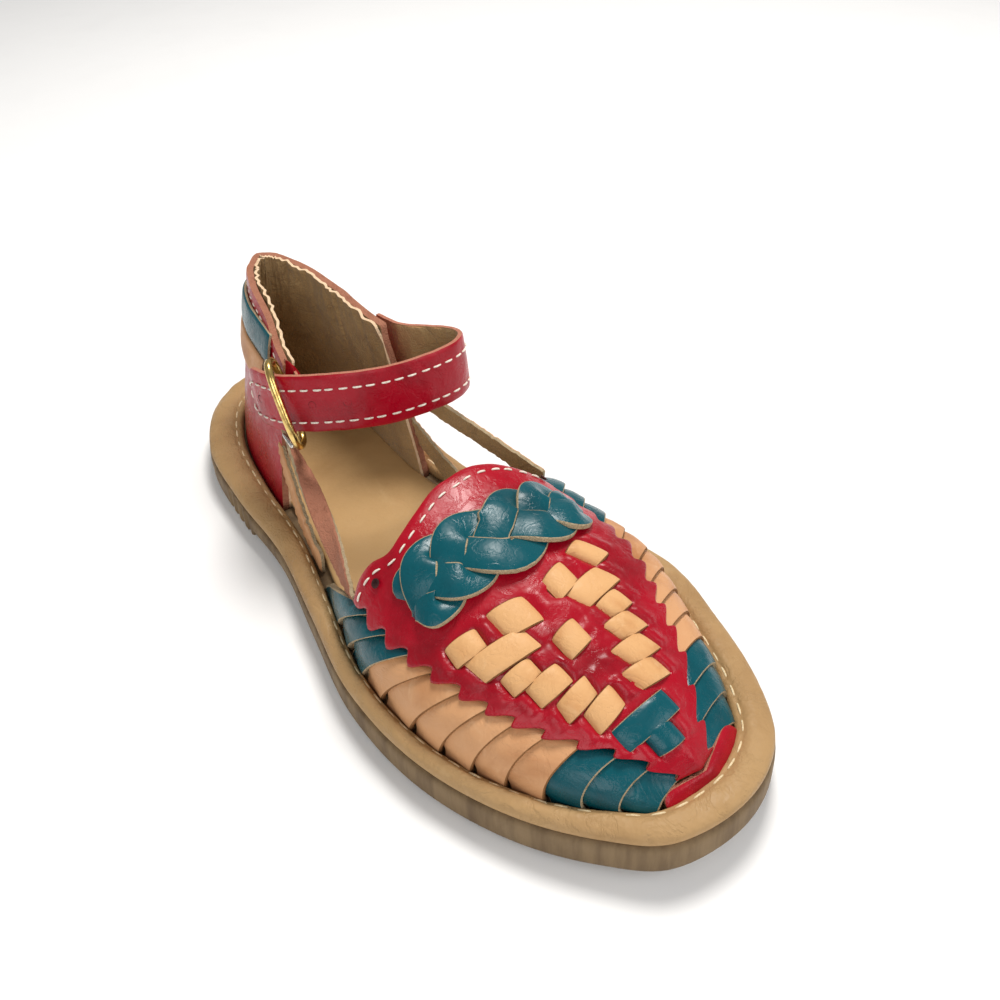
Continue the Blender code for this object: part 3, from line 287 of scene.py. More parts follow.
rim_hide = leather(
    "rim_hide", (0.43, 0.265, 0.118), (0.26, 0.140, 0.052), (0.58, 0.40, 0.21), 0.46, 0.72,
    pores=0.4, creases=0.6, crease_scale=90.0, bump=0.38, blotches=40.0)
footbed_hide = leather(
    "footbed_hide", (0.50, 0.31, 0.135), (0.32, 0.175, 0.065), (0.60, 0.41, 0.21), 0.48, 0.70,
    pores=0.35, creases=0.25, bump=0.22, blotches=22.0, deep_share=0.8)

# %% [markdown]
# The rubber of the sole is matt, and its sides show faint upright marks from the mould. A noise that is
# squeezed along Z gives long streaks for them.

# %% Rubber
rubber, tree, shader = new_finish("crepe_rubber")
place = tree.nodes.new("ShaderNodeTexCoord").outputs["Object"]
stretch = tree.nodes.new("ShaderNodeMapping")
stretch.inputs["Scale"].default_value = (1, 1, 0.12)
tree.links.new(place, stretch.inputs["Vector"])
streaks = noise_node(tree, stretch.outputs["Vector"], 260.0, 5.0, 0.6)
dust = noise_node(tree, place, 70.0, 6.0, 0.65, 0.3)
tone = mix_colour(tree, ramp_node(tree, streaks, 0.35, 0.7), (0.215, 0.140, 0.066), (0.125, 0.075, 0.032))
tone = mix_colour(tree, ramp_node(tree, dust, 0.5, 0.8, 0.0, 0.5), tone, (0.31, 0.22, 0.12))
tree.links.new(tone, shader["Base Color"])
shader["Roughness"].default_value = 0.72
add_bump(tree, shader, streaks, 0.35, 0.5 * MM)


# %% [markdown]
# Brass, steel and waxed thread need little more than a base colour, with fine scratches or twist in
# the bump and some tarnish in the roughness.

# %% Metal and thread
def plain_finish(name, colour, dark, rough, metallic, scale, bump):
    material, tree, shader = new_finish(name)
    place = tree.nodes.new("ShaderNodeTexCoord").outputs["Object"]
    mottle = noise_node(tree, place, scale, 5.0, 0.6)
    tone = mix_colour(tree, ramp_node(tree, mottle, 0.4, 0.75), colour, dark)
    tree.links.new(tone, shader["Base Color"])
    tree.links.new(ramp_node(tree, mottle, 0.3, 0.8, rough * 0.8, rough * 1.4), shader["Roughness"])
    shader["Metallic"].default_value = metallic
    add_bump(tree, shader, mottle, bump, 0.2 * MM)
    return material


brass = plain_finish("buckle_brass", (0.78, 0.56, 0.20), (0.42, 0.25, 0.07), 0.22, 1.0, 700.0, 0.10)
steel = plain_finish("prong_steel", (0.72, 0.70, 0.66), (0.40, 0.37, 0.33), 0.28, 1.0, 900.0, 0.10)
thread = plain_finish("white_thread", (0.86, 0.80, 0.70), (0.62, 0.50, 0.38), 0.7, 0.0, 2500.0, 0.5)
rim_thread = plain_finish("tan_thread", (0.80, 0.66, 0.42), (0.55, 0.38, 0.18), 0.7, 0.0, 2500.0, 0.5)
# The punched-hole finish is painted shade: near black, standing in for the dark inside of a hole through the
# leather.
hole_painted_shade = plain_finish("punched_hole", (0.05, 0.008, 0.008), (0.02, 0.004, 0.004), 0.9, 0.0, 900.0, 0.2)
print("finishes:", len(bpy.data.materials))

# %% [markdown]
# ## The sole's outline
# All the leather hangs on two lines: the outline of the sole, and the seam where the strips go into
# it. They come from a short table of shares, as a last maker's chart gives them.

# %% Outline table
LENGTH = 190 * MM
HALF_BREADTH = 39 * MM
SOLE_TOP = 7.6 * MM
TOE_SPRING = 3.0 * MM
RIM = 9.0 * MM
SEAM_GAP = 0.3 * MM
OUTLINE = [
    (0.030, 0.335, -0.385, 1.06, 1.06),
    (0.115, 0.610, -0.620, 1.10, 1.04),
    (0.237, 0.715, -0.665, 0.92, 0.98),
    (0.370, 0.755, -0.605, 0.72, 0.86),
    (0.485, 0.875, -0.665, 0.58, 0.76),
    (0.605, 1.000, -0.825, 0.50, 0.72),
    (0.725, 0.985, -0.990, 0.46, 0.76),
    (0.840, 0.815, -0.850, 0.50, 0.88),
    (0.926, 0.575, -0.655, 0.60, 0.92),
    (0.979, 0.340, -0.430, 0.76, 0.92),
]
HEEL_TIP = (-0.013, 1.06)
TOE_TIP = (-0.090, 0.88)


# %% Curves
def smooth_step(value):
    value = np.clip(value, 0, 1)
    return value * value * (3 - 2 * value)


def unit(vectors):
    return vectors / np.maximum(np.linalg.norm(vectors, axis=-1, keepdims=True), 1e-12)


def run_along(points):
    """Distance along a line from its first point to each of its points."""
    return np.concatenate([[0], np.cumsum(np.linalg.norm(np.diff(points, axis=0), axis=1))])


def read_line(at, keys, values):
    return np.column_stack([np.interp(at, keys, column) for column in values.T])


def open_curve(points, count):
    points = np.asarray(points, float)
    line = np.vstack([2 * points[0] - points[1], points, 2 * points[-1] - points[-2]])
    where = np.linspace(0, len(points) - 1, count)
    first = np.minimum(where.astype(int), len(points) - 2)
    t = (where - first)[:, None]
    a, b, c, d = (line[first + k] for k in range(4))
    bend, twist = 2 * a - 5 * b + 4 * c - d, 3 * b - a - 3 * c + d
    return b + 0.5 * ((c - a) * t + bend * t ** 2 + twist * t ** 3)


def even_curve(points, count):
    fine = open_curve(points, 40 * len(points))
    run = run_along(fine)
    return read_line(np.linspace(0, run[-1], count), run, fine)


def closed_curve(points, steps):
    points = np.asarray(points, float)
    count = len(points)
    gaps = np.sqrt(np.linalg.norm(np.roll(points, -1, 0) - points, axis=1))
    result = []
    for i in range(count):
        before, start = points[i - 1], points[i]
        end, after = points[(i + 1) % count], points[(i + 2) % count]
        d0, d1, d2 = gaps[i - 1], gaps[i], gaps[(i + 1) % count]
        leave = d1 * ((start - before) / d0 - (end - before) / (d0 + d1) + (end - start) / d1)
        arrive = d1 * ((end - start) / d1 - (after - start) / (d1 + d2) + (after - end) / d2)
        for t in np.linspace(0, 1, steps, endpoint=False):
            blend = (2 * t ** 3 - 3 * t ** 2 + 1) * start + (t ** 3 - 2 * t ** 2 + t) * leave
            result.append(blend + (3 * t ** 2 - 2 * t ** 3) * end + (t ** 3 - t ** 2) * arrive)
    return np.array(result)


# %% [markdown]
# The outline runs from the heel tip round the outer side to the toe and back on the inner side. Its
# third number is the width of the rim there, so one helper can give any line set in from the edge.

# %% Outline loop
def outline_loop():
    rows = np.array(OUTLINE)
    along = rows[:, 0] * LENGTH
    sides = [np.column_stack([rows[:, k] * HALF_BREADTH, along, rows[:, k + 2] * RIM]) for k in (1, 2)]
    heel = (HEEL_TIP[0] * HALF_BREADTH, 0.0, HEEL_TIP[1] * RIM)
    toe = (TOE_TIP[0] * HALF_BREADTH, LENGTH, TOE_TIP[1] * RIM)
    loop = closed_curve(np.vstack([[heel], sides[0], [toe], sides[1][::-1]]), 60)
    low, high = loop[:, :2].min(0), loop[:, :2].max(0)
    loop[:, 0] = (loop[:, 0] - (low[0] + high[0]) / 2) * 2 * HALF_BREADTH / (high[0] - low[0])
    loop[:, 1] = (loop[:, 1] - low[1]) * LENGTH / (high[1] - low[1])
    return np.roll(loop, -int(loop[:, 1].argmin()), 0)


loop = outline_loop()
loop_count = len(loop)
tangent = unit(np.roll(loop[:, :2], -1, 0) - np.roll(loop[:, :2], 1, 0))
outward = np.column_stack([tangent[:, 1], -tangent[:, 0]])
toe_index = int(loop[:, 1].argmax())


def loop_read(where, values):
    where = np.atleast_1d(np.asarray(where, float)) % loop_count
    return read_line(where, np.arange(loop_count + 1), np.vstack([values, values[:1]]))


def edge_at(where, inset, rim_share=0.0):
    place = loop_read(where, loop)
    inward = np.asarray(inset + rim_share * place[:, 2])
    return place[:, :2] - loop_read(where, outward) * inward[:, None]


def places_at(along):
    lateral = np.interp(along, loop[:toe_index + 1, 1], np.arange(toe_index + 1))
    back = np.arange(loop_count, toe_index - 1, -1)
    return lateral, np.interp(along, loop[back % loop_count, 1], back)


def toe_rise(along):
    return TOE_SPRING * np.clip((np.asarray(along) / LENGTH - 0.78) / 0.22, 0, 1) ** 1.8


def seat(along):
    """Height of the sole's top, with the small gap on which all leather stands."""
    return SOLE_TOP + toe_rise(along) + SEAM_GAP


print("outline points:", loop_count, "toe at", np.round(loop[toe_index, :2], 4).tolist())

# %% [markdown]
# ## The last
# A shoe is made on a last. Here the last is a smooth surface with two numbers for every point: its
# share of the way from throat to toe, and its turn from the outer seam over the crown to the inner.

# %% Last surface
INSTEP = 42 * MM
CROWN = [(0.547, 0.077, 1.000), (0.642, 0.090, 0.905), (0.737, 0.090, 0.798), (0.816, 0.077, 0.690),
         (0.884, 0.050, 0.560), (0.939, 0.026, 0.420)]
CROWN_STEPS = 240
THROAT = {"lateral": 97 * MM, "medial": 104 * MM}
SEAM_RUN = LENGTH - THROAT["lateral"]
FULLNESS = 0.78
TAB_HALF = 10 * MM


def seam_track(side):
    lateral, medial = places_at(THROAT[side])
    where = np.linspace(lateral if side == "lateral" else medial, toe_index, 400)
    run = run_along(edge_at(where, 0.0, 1.0))
    stop = run[-1] - TAB_HALF
    body, tip = np.linspace(0, stop, 200), np.linspace(stop, run[-1], 200)
    return np.interp(body, run, where), np.interp(tip, run, where)


tracks = {side: seam_track(side) for side in ("lateral", "medial")}
toe_seam = edge_at(toe_index, 0.0, 1.0)[0]
crown_points = [(x * HALF_BREADTH, y * LENGTH, z * INSTEP) for y, x, z in CROWN]
crown_points.append((toe_seam[0], toe_seam[1], float(seat(toe_seam[1]))))
crown_line = open_curve(crown_points, CROWN_STEPS + 1)


def read_track(track, share):
    pace = (track[1] - track[0]) * (len(track) - 1)
    where = np.interp(share, np.linspace(0, 1, len(track)), track)
    return edge_at(where + np.minimum(share, 0) * pace, 0.0, 1.0)


def on_side(share, inward, upward, side):
    body, tip = tracks[side]
    crown = read_line(share, np.linspace(0, 1, CROWN_STEPS + 1), crown_line)
    crown = crown + np.minimum(share, 0)[:, None] * CROWN_STEPS * (crown_line[1] - crown_line[0])
    foot = read_track(body, share)
    front = read_track(tip, inward) + (foot - read_track(body, np.ones(1))) * (1 - inward)[:, None]
    plan = foot + (crown[:, :2] - foot) * inward[:, None]
    close = smooth_step((share - 0.90) / 0.10)[:, None]
    plan = plan * (1 - close) + front * close
    base = seat(plan[:, 1])
    return np.column_stack([plan, base + (crown[:, 2] - base) * upward])


def last_surface(share, turn):
    share, turn = np.broadcast_arrays(np.asarray(share, float), np.asarray(turn, float))
    shape = share.shape
    share, turn = np.clip(share.ravel(), -0.3, 1), np.clip(turn.ravel(), 0, 1)
    on_lateral = turn <= 0.5
    angle = np.pi * np.where(on_lateral, turn, 1 - turn)
    inward = 1 - np.clip(np.cos(angle), 0, 1) ** FULLNESS
    upward = np.clip(np.sin(angle), 0, 1) ** FULLNESS
    lateral = on_side(share, inward, upward, "lateral")
    medial = on_side(share, inward, upward, "medial")
    return np.where(on_lateral[:, None], lateral, medial).reshape(shape + (3,))


def last_normal(share, turn):
    share = np.asarray(share, float)
    turn = np.asarray(turn, float)
    step = 0.004
    ahead = last_surface(share + step, turn) - last_surface(share - step, turn)
    over = last_surface(share, turn + step) - last_surface(share, turn - step)
    normal = np.cross(ahead, over)
    normal[..., 2] *= 1 - np.clip(share, 0, 1) ** 12
    return unit(normal)


def on_last(share, turn, offset):
    offset = np.asarray(offset, float)
    return last_surface(share, turn) + last_normal(share, turn) * offset[..., None]


print("crown runs from", np.round(crown_line[0], 4).tolist(), "to", np.round(crown_line[-1], 4).tolist())


# %% [markdown]
# ## How a piece of leather is built
# A strip of leather has a dyed face, a pale cut edge and a fleshy back. One helper takes a grid of
# points for the face, thickens it and gives the three sides their own finishes.

# %% Leather sheet
def add_piece(name, bm, finishes, replaced=(), outwards=True):
    """Makes a piece from a bmesh; its faces are turned outwards unless they are set already."""
    if outwards:
        bmesh.ops.recalc_face_normals(bm, faces=bm.faces)
    mesh = bpy.data.meshes.new(name)
    bm.to_mesh(mesh)
    bm.free()
    piece = bpy.data.objects.new(name, mesh)
    bpy.context.scene.collection.objects.link(piece)
    for finish in finishes:
        mesh.materials.append(finish)
    piece.location = (0, -LENGTH / 2, 0)
    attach(piece, "root")
    if replaced:
        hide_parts(*replaced)


def sheet_mesh(bm, face, thickness, normals=None, roll=0.35, raw=False):
    """Adds one thick sheet to bm. Material 0 is the face, 1 the cut edge, 2 the back.

    The border of the face sinks by the share roll of the thickness. With raw, the outermost
    column of the face shows the cut edge too.
    """
    rows, columns = face.shape[:2]
    if normals is None:
        normals = unit(np.cross(np.gradient(face, axis=0), np.gradient(face, axis=1)))
    low = np.zeros((rows, columns, 1))
    for border, depth in (([1, -2], 0.25 * roll), ([0, -1], roll)):
        low[border, :] = depth
        low[:, border] = depth
    grids = (face - normals * thickness * low, face - normals * thickness)
    top, under = [[[bm.verts.new(point) for point in row] for row in grid] for grid in grids]
    made = []

    def add(slot, *corners):
        new = bm.faces.new(corners)
        new.material_index = slot
        new.smooth = True
        made.append(new)

    for i in range(rows - 1):
        n = i + 1
        for j in range(columns - 1):
            outermost = raw and j in (0, columns - 2)
            add(int(outermost), top[i][j], top[n][j], top[n][j + 1], top[i][j + 1])
            add(2, under[i][j], under[i][j + 1], under[n][j + 1], under[n][j])
        add(1, top[n][0], top[i][0], under[i][0], under[n][0])
        add(1, top[i][-1], top[n][-1], under[n][-1], under[i][-1])
    for j in range(columns - 1):
        add(1, top[0][j], top[0][j + 1], under[0][j + 1], under[0][j])
        add(1, top[-1][j + 1], top[-1][j], under[-1][j], under[-1][j + 1])
    for new in made:
        if new.material_index == 1:
            for edge in new.edges:
                if any(other.material_index != 1 for other in edge.link_faces):
                    edge.smooth = False


def leather_piece(name, sheets, finishes, replaced=()):
    """One object from sheets, each a dict of sheet_mesh's values."""
    bm = bmesh.new()
    for values in sheets:
        sheet_mesh(bm, **values)
    add_piece(name, bm, finishes, replaced)


# %% [markdown]
# A stitch is a short round bar of thread that dips into the leather at both ends. A row of them is
# laid along any line, each turned to the line and standing on the leather's normal. The helper that
# skins its rings also serves for the sole, the rim, the holes and the prong.

# %% Stitches
STITCH_SECTIONS = [(0, 0.35, -0.35), (0.12, 0.85, 0.15), (0.5, 1.0, 0.45), (0.88, 0.85, 0.15),
                   (1, 0.35, -0.35)]
RIM_STITCH = (3.0 * MM, 1.6 * MM, 0.26 * MM)
STRAP_STITCH = (2.3 * MM, 1.1 * MM, 0.27 * MM)
FLAP_STITCH = (2.2 * MM, 1.5 * MM, 0.26 * MM)
COUNTER_STITCH = (2.0 * MM, 1.1 * MM, 0.26 * MM)


def round_ring(centre, side, over, radius, count):
    turns = (2 * math.pi * n / count for n in range(count))
    return [centre + (side * math.cos(a) + over * math.sin(a)) * radius for a in turns]


def skin_rings(bm, rings, looped=False, capped=False, smooth=True):
    """Joins rings of points into a tube and returns the rings of vertices."""
    rows = [[bm.verts.new(point) for point in ring] for ring in rings]
    for one, two in zip(rows, rows[1:] + (rows[:1] if looped else [])):
        for n in range(len(one)):
            m = (n + 1) % len(one)
            bm.faces.new((one[n], one[m], two[m], two[n])).smooth = smooth
    if capped:
        bm.faces.new(rows[0])
        bm.faces.new(rows[-1])
    return rows


def stitch_row(name, line, normals, finish, size):
    """Stitches along a line; size is the length of one, the gap and the thread's radius."""
    long, gap, thick = size
    run = run_along(line)
    bm = bmesh.new()
    for k in range(max(int((run[-1] + gap) / (long + gap)), 1)):
        start = k * (long + gap) + 0.18 * gap * math.sin(k * 2.3)
        rings = []
        for share, wide, high in STITCH_SECTIONS:
            at = min(start + share * long, run[-1])
            near = read_line([at, min(at + 0.3 * MM, run[-1]), max(at - 0.3 * MM, 0)], run, line)
            ahead = Vector(near[1] - near[2]).normalized()
            up = Vector(read_line([at], run, normals)[0]).normalized()
            side = ahead.cross(up).normalized()
            rings.append(round_ring(Vector(near[0]) + up * high * thick, side, up, thick * wide, 8))
        skin_rings(bm, rings, capped=True)
    add_piece(name, bm, [finish])


# %% [markdown]
# ## The sole
# The outsole is a slab of crepe rubber: a flat heel, a low step at its breast with upright ribs beside
# it, a slight arch and a toe that lifts off the ground. It is a loft of many level rings.

# %% Outsole
HEEL_LENGTH = 52 * MM
BREAST_STEP = 2.2 * MM
RIB_PITCH = 3.6 * MM
RIB_COUNT = 4
RIB_DEPTH = 0.7 * MM


def sole_bottom(along):
    step = np.clip((along - HEEL_LENGTH) / (1.4 * MM), 0, 1)
    return toe_rise(along) + BREAST_STEP * step * (1 - smooth_step((along / LENGTH - 0.38) / 0.14))


def rib_groove(along):
    phase = (HEEL_LENGTH - along) / RIB_PITCH
    inside = (phase > 0) & (phase < RIB_COUNT)
    place = 1 - phase % 1
    cut = smooth_step((place - 0.28) / 0.08) * (1 - smooth_step((place - 0.90) / 0.08))
    return np.where(inside, cut, 0.0) * RIB_DEPTH


def sole_ring_places(count):
    along = [0.5 * (1 - math.cos(math.pi * (k + 1) / (count + 1))) * LENGTH for k in range(count)]
    fine = list(np.linspace(HEEL_LENGTH - RIB_COUNT * RIB_PITCH, HEEL_LENGTH + 2.5 * MM, 64))
    along = sorted([y for y in along if not fine[0] - MM < y < fine[-1] + MM] + fine)
    lateral, medial = places_at(np.array(along))
    where = np.concatenate([[0], lateral, [toe_index], medial[::-1]])
    return where, np.concatenate([[0], along, [LENGTH], along[::-1]])


where, along = sole_ring_places(110)
ribs = rib_groove(along)
bottom, top = sole_bottom(along), SOLE_TOP + toe_rise(along)
levels = [
    (bottom, 1.2 * MM + 0.3 * ribs),
    (bottom + 0.12 * MM, 0.8 * MM + 0.5 * ribs),
    (bottom + 0.5 * MM, 0.35 * MM + 0.9 * ribs),
    (bottom + 1.2 * MM, 0.12 * MM + ribs),
    (0.6 * bottom + 0.4 * top, 0.05 * MM + ribs),
    (0.3 * bottom + 0.7 * top, 0.0 * MM + ribs),
    (top - 1.1 * MM, 0.05 * MM + 0.5 * ribs),
    (top - 0.5 * MM, 0.3 * MM + 0.1 * ribs),
    (top - 0.15 * MM, 0.9 * MM),
    (top, 1.9 * MM),
]
bm = bmesh.new()
rows = skin_rings(bm, [np.column_stack([edge_at(where, inset), height]) for height, inset in levels])
half = len(where) // 2
for row in (rows[0], rows[-1]):
    caps = [(row[0], row[1], row[-1])]
    caps += [(row[k], row[k + 1], row[-k - 1], row[-k]) for k in range(1, half - 1)]
    caps.append((row[half - 1], row[half], row[half + 1]))
    for cap in caps:
        bm.faces.new(cap).smooth = True
add_piece("crepe_outsole", bm, [rubber], ["outsole"])
print("outsole height at the heel:", round(float(top[0] - bottom[0]) / MM, 1), "mm")

# %% [markdown]
# ## The padded rim
# A soft leather band wraps the edge of the sole. Its section is a low dome that rolls under at the
# outside and dips sharply to the seam. Small puckers cross it where the thread pulls the leather in.

# %% Rim
RIM_SECTION = [
    (0.20, 0.00), (0.07, 0.05), (0.00, 0.24), (0.01, 0.46), (0.06, 0.64), (0.15, 0.79), (0.28, 0.91),
    (0.42, 0.98), (0.56, 1.00), (0.68, 0.96), (0.76, 0.87), (0.81, 0.78), (0.87, 0.80), (0.94, 0.72),
    (0.99, 0.55), (1.00, 0.25), (1.00, 0.00)]
rim_rows = []
for k, spot in enumerate(np.linspace(0, loop_count, 421)[:-1]):
    row = []
    for share, high in RIM_SECTION:
        x, y = edge_at(spot, SEAM_GAP * (1 - share), share)[0]
        wave = noise.noise(Vector((x * 120, y * 120, share * 2.0)))
        fine = noise.noise(Vector((x * 420, y * 420, share * 3.0)))
        pucker = math.sin(k * 1.05) * 0.10 * max(0.0, share - 0.55)
        lift = high * 3.5 * MM + (0.40 * wave + 0.22 * fine + pucker) * MM * min(1.0, high * 1.5)
        row.append((x, y, seat(y) + max(lift, 0)))
    rim_rows.append(row)
bm = bmesh.new()
skin_rings(bm, rim_rows, looped=True)
add_piece("padded_rim", bm, [rim_hide], ["welt_rim"])
plan = edge_at(np.linspace(0, loop_count, 700), SEAM_GAP * 0.2, 0.81)
stitch_line = np.column_stack([plan, seat(plan[:, 1]) + 0.79 * 3.4 * MM])
up = np.tile((0.0, 0.0, 1.0), (len(stitch_line), 1))
stitch_row("rim_stitches", stitch_line, up, rim_thread, RIM_STITCH)
print("rim points:", len(rim_rows) * len(RIM_SECTION))

# %% [markdown]
# ## The footbed
# Inside the seam lies a thin plate of smooth leather, dished a little by the foot. A grid follows the
# outline from side to side, so the dish and its soft waves are part of the mesh.

# %% Footbed
def footbed_rows():
    rows = []
    inset = 2.9 * MM
    start, end = edge_at(0, inset, 1.0)[0][1], edge_at(toe_index, inset, 1.0)[0][1]
    for k in range(121):
        share = 0.5 * (1 - math.cos(math.pi * (0.012 + 0.976 * k / 120)))
        lateral, medial = places_at(share * LENGTH)
        a, b = edge_at(lateral, inset, 1.0)[0], edge_at(medial, inset, 1.0)[0]
        row = []
        for n in range(33):
            across = 0.5 * (1 - math.cos(math.pi * n / 32))
            x, y = a + (b - a) * across
            if k in (0, 120):
                y = start + (end - start) * (0.003 + 0.994 * share)
            dish = 0.5 * MM * math.sin(math.pi * across) * (1.0 - 0.6 * share)
            wave = 0.12 * MM * noise.noise(Vector((x * 60, y * 60, 0.3)))
            row.append((x, y, seat(y) + 1.8 * MM - dish + wave))
        rows.append(row)
    return np.array(rows)


leather_piece("footbed", [dict(face=footbed_rows(), thickness=1.2 * MM, roll=0.5)],
              [footbed_hide, cut_edge, footbed_hide], ["insole"])

# %% [markdown]
# ## The side strips
# Twelve strips rise on each side from the seam to the shield. Each lies over the next one in front of
# it, so its front edge stands proud and its rear edge is hidden. Its end slips under the shield.

# %% Strip tables
STRIPS = [(0.010, 0.200), (0.090, 0.270), (0.180, 0.340), (0.265, 0.405), (0.375, 0.475), (0.465, 0.535),
          (0.550, 0.590), (0.635, 0.645), (0.725, 0.705), (0.810, 0.765), (0.890, 0.830), (0.970, 0.900)]
FEET = [-0.135] + [row[0] for row in STRIPS]
TIPS = [0.120] + [row[1] for row in STRIPS]
STRIP_COLOURS = "tttnnnnnnttt"
BORDER = [(0.12, 0.150, 0.215), (0.30, 0.185, 0.235), (0.45, 0.225, 0.275), (0.60, 0.265, 0.315),
          (0.70, 0.320, 0.345), (0.77, 0.375, 0.395), (0.83, 0.403, 0.430), (0.90, 0.430, 0.450),
          (1.00, 0.450, 0.465)]
SCALLOP = 0.018
REAR_EDGE = [(0.150, 0.114), (0.200, 0.103), (0.260, 0.104), (0.310, 0.117), (0.365, 0.100), (0.410, 0.080),
             (0.500, 0.035), (0.600, 0.040), (0.660, 0.060), (0.720, 0.085), (0.785, 0.104)]
FRONT_EDGE = [(0.300, 0.895), (0.430, 0.900), (0.500, 0.905), (0.560, 0.915), (0.700, 0.915)]
MEDIAL_BOW = 3.5 * MM


def read_table(table, column, at):
    keys = np.array([row[0] for row in table])
    values = np.array([row[column] for row in table])
    slopes = np.gradient(values, keys)
    at = np.clip(at, keys[0], keys[-1])
    k = np.clip(np.searchsorted(keys, at) - 1, 0, len(keys) - 2)
    span = keys[k + 1] - keys[k]
    t = (at - keys[k]) / span
    start = (1 + 2 * t) * (1 - t) ** 2 * values[k] + t * (1 - t) ** 2 * span * slopes[k]
    return start + t * t * (3 - 2 * t) * values[k + 1] + t * t * (t - 1) * span * slopes[k + 1]


def shield_share(turn, tip):
    """Share along the last of a line across the shield that starts at this strip tip."""
    rear = read_table(REAR_EDGE, 1, turn)
    front = read_table(FRONT_EDGE, 1, turn)
    return rear + (front - rear) * (tip - TIPS[0]) / (TIPS[-1] - TIPS[0])


def border_turn(tip, side):
    value = read_table(BORDER, 1 if side == "lateral" else 2, tip)
    return value if side == "lateral" else 1 - value


# %% Side strips
STRIP_THICKNESS = 1.15 * MM
STRIP_COLUMNS = np.array([0, 0.05, 0.14, 0.26, 0.4, 0.55, 0.7, 0.82, 0.91, 0.965, 1.0])
STRIP_ROWS = np.concatenate([np.linspace(0, 0.12, 7)[:-1], np.linspace(0.12, 1.0, 26)])


def side_strip(number, side):
    """The face of one strip: rows from foot to tip, columns from its rear to its front edge."""
    lateral = side == "lateral"
    seed = number * 3.7 + (0 if lateral else 51.3)
    slot = 1.3 * MM / SEAM_RUN if number else 0.0
    tuck = 2.4 * MM / SEAM_RUN if number else 0.0
    rear_foot, front_foot = FEET[number] + slot, FEET[number + 1]
    rear_tip, front_tip = TIPS[number] - tuck, TIPS[number + 1]
    start, sign = (0.0, 1) if lateral else (1.0, -1)
    puff = 0.8 + 0.35 * math.sin(seed * 2.1)
    rows = []
    for f in STRIP_ROWS:
        row = []
        for u in STRIP_COLUMNS:
            tip = rear_tip + (front_tip - rear_tip) * u
            border = border_turn(np.clip(tip, 0.12, 1), side) + sign * (SCALLOP * (1.6 * u - 1.0) + 0.010)
            at_border = float(shield_share(border, np.clip(tip, 0.12, 0.9)))
            foot = rear_foot + (front_foot - rear_foot) * u
            wobble = 0.003 * noise.noise(Vector((seed, f * 2.0, u * 1.5))) * f
            share = foot + (at_border - foot) * f ** 0.9 + wobble
            share -= tuck * math.sin(math.pi * f) * (1 - u)
            turn = start + (border - start) * f
            crown = 0.32 * puff * math.sin(math.pi * u) * math.sin(math.pi * min(1, f * 1.1)) ** 0.7
            bow = 0.75 * math.sin(math.pi * min(1.0, f * 1.05)) ** 1.2
            if not lateral:
                near_throat = 1 - smooth_step((tip - TIPS[0]) / (TIPS[-1] - TIPS[0]) / 0.5)
                bow += MEDIAL_BOW / MM * float(near_throat) * math.sin(math.pi * f)
            base = -1.25 + 1.45 * u ** 0.8
            crumple = 0.16 * noise.noise(Vector((seed + f * 6.0, u * 2.2, 0.5)))
            low = smooth_step(f / 0.10)
            tucked = smooth_step((f - 0.93) / 0.07)
            rise = -0.35 * (1 - low) + (base + crown + bow + crumple) * low - 0.55 * tucked
            row.append((share, turn, rise * MM))
        rows.append(row)
    shares, turns, heights = np.moveaxis(np.array(rows), -1, 0)
    turns = np.clip(turns, 0, 1)
    points = on_last(shares, turns, heights)
    points[..., 2] = np.maximum(points[..., 2], seat(points[..., 1]) + STRIP_ROWS[:, None] * MM)
    return points, last_normal(shares, turns)


for side in ("lateral", "medial"):
    # The natural strips take the dark brown edge, which is partly painted shade under their proud edges.
    for colour, hide, edge in (("teal", teal_hide, cut_edge), ("natural", natural_hide, brown_edge_painted_shade)):
        sheets = []
        for number, letter in enumerate(STRIP_COLOURS):
            if letter == colour[0]:
                face, normals = side_strip(number, side)
                sheets.append(dict(face=face, thickness=STRIP_THICKNESS, normals=normals, roll=0.15,
                                   raw=True))
        leather_piece(f"{side}_strips_{colour}", sheets, [hide, edge, suede], ["upper"])
print("strips on a side:", len(STRIP_COLOURS))

# %% [markdown]
# ## The shield
# The vamp's centre is one red hide with a zigzag border, two ears and a rounded throat flap. It is
# slit for the woven squares, and the leather sinks a little at each slit and puffs up between them.

# %% Woven squares table
SQUARES = [
    (0.375, 0.440, -14, 14, 7.1, 6.0, "n"), (0.388, 0.320, -13, 4, 6.1, 4.4, "n"),
    (0.440, 0.370, -15, 18, 10.7, 5.0, "n"), (0.502, 0.362, -11, 5, 5.8, 4.0, "n"),
    (0.545, 0.392, -10, 5, 6.6, 4.5, "n"), (0.600, 0.411, -5, -7, 6.5, 4.0, "n"),
    (0.646, 0.438, -1, -6, 6.4, 4.5, "n"), (0.467, 0.485, 3, -3, 5.3, 5.3, "n"),
    (0.352, 0.520, 10, -8, 5.9, 5.2, "n"), (0.354, 0.602, 8, 20, 4.5, 6.4, "n"),
    (0.416, 0.556, 6, 19, 9.4, 5.1, "n"), (0.480, 0.566, 7, 11, 5.7, 4.3, "n"),
    (0.532, 0.556, -1, 22, 6.4, 4.5, "n"), (0.583, 0.542, -2, 25, 7.2, 4.6, "n"),
    (0.634, 0.528, -7, 21, 7.2, 4.4, "n"), (0.707, 0.482, -5, 7, 11.0, 4.6, "t"),
    (0.760, 0.488, -10, 11, 5.2, 4.5, "t"),
]


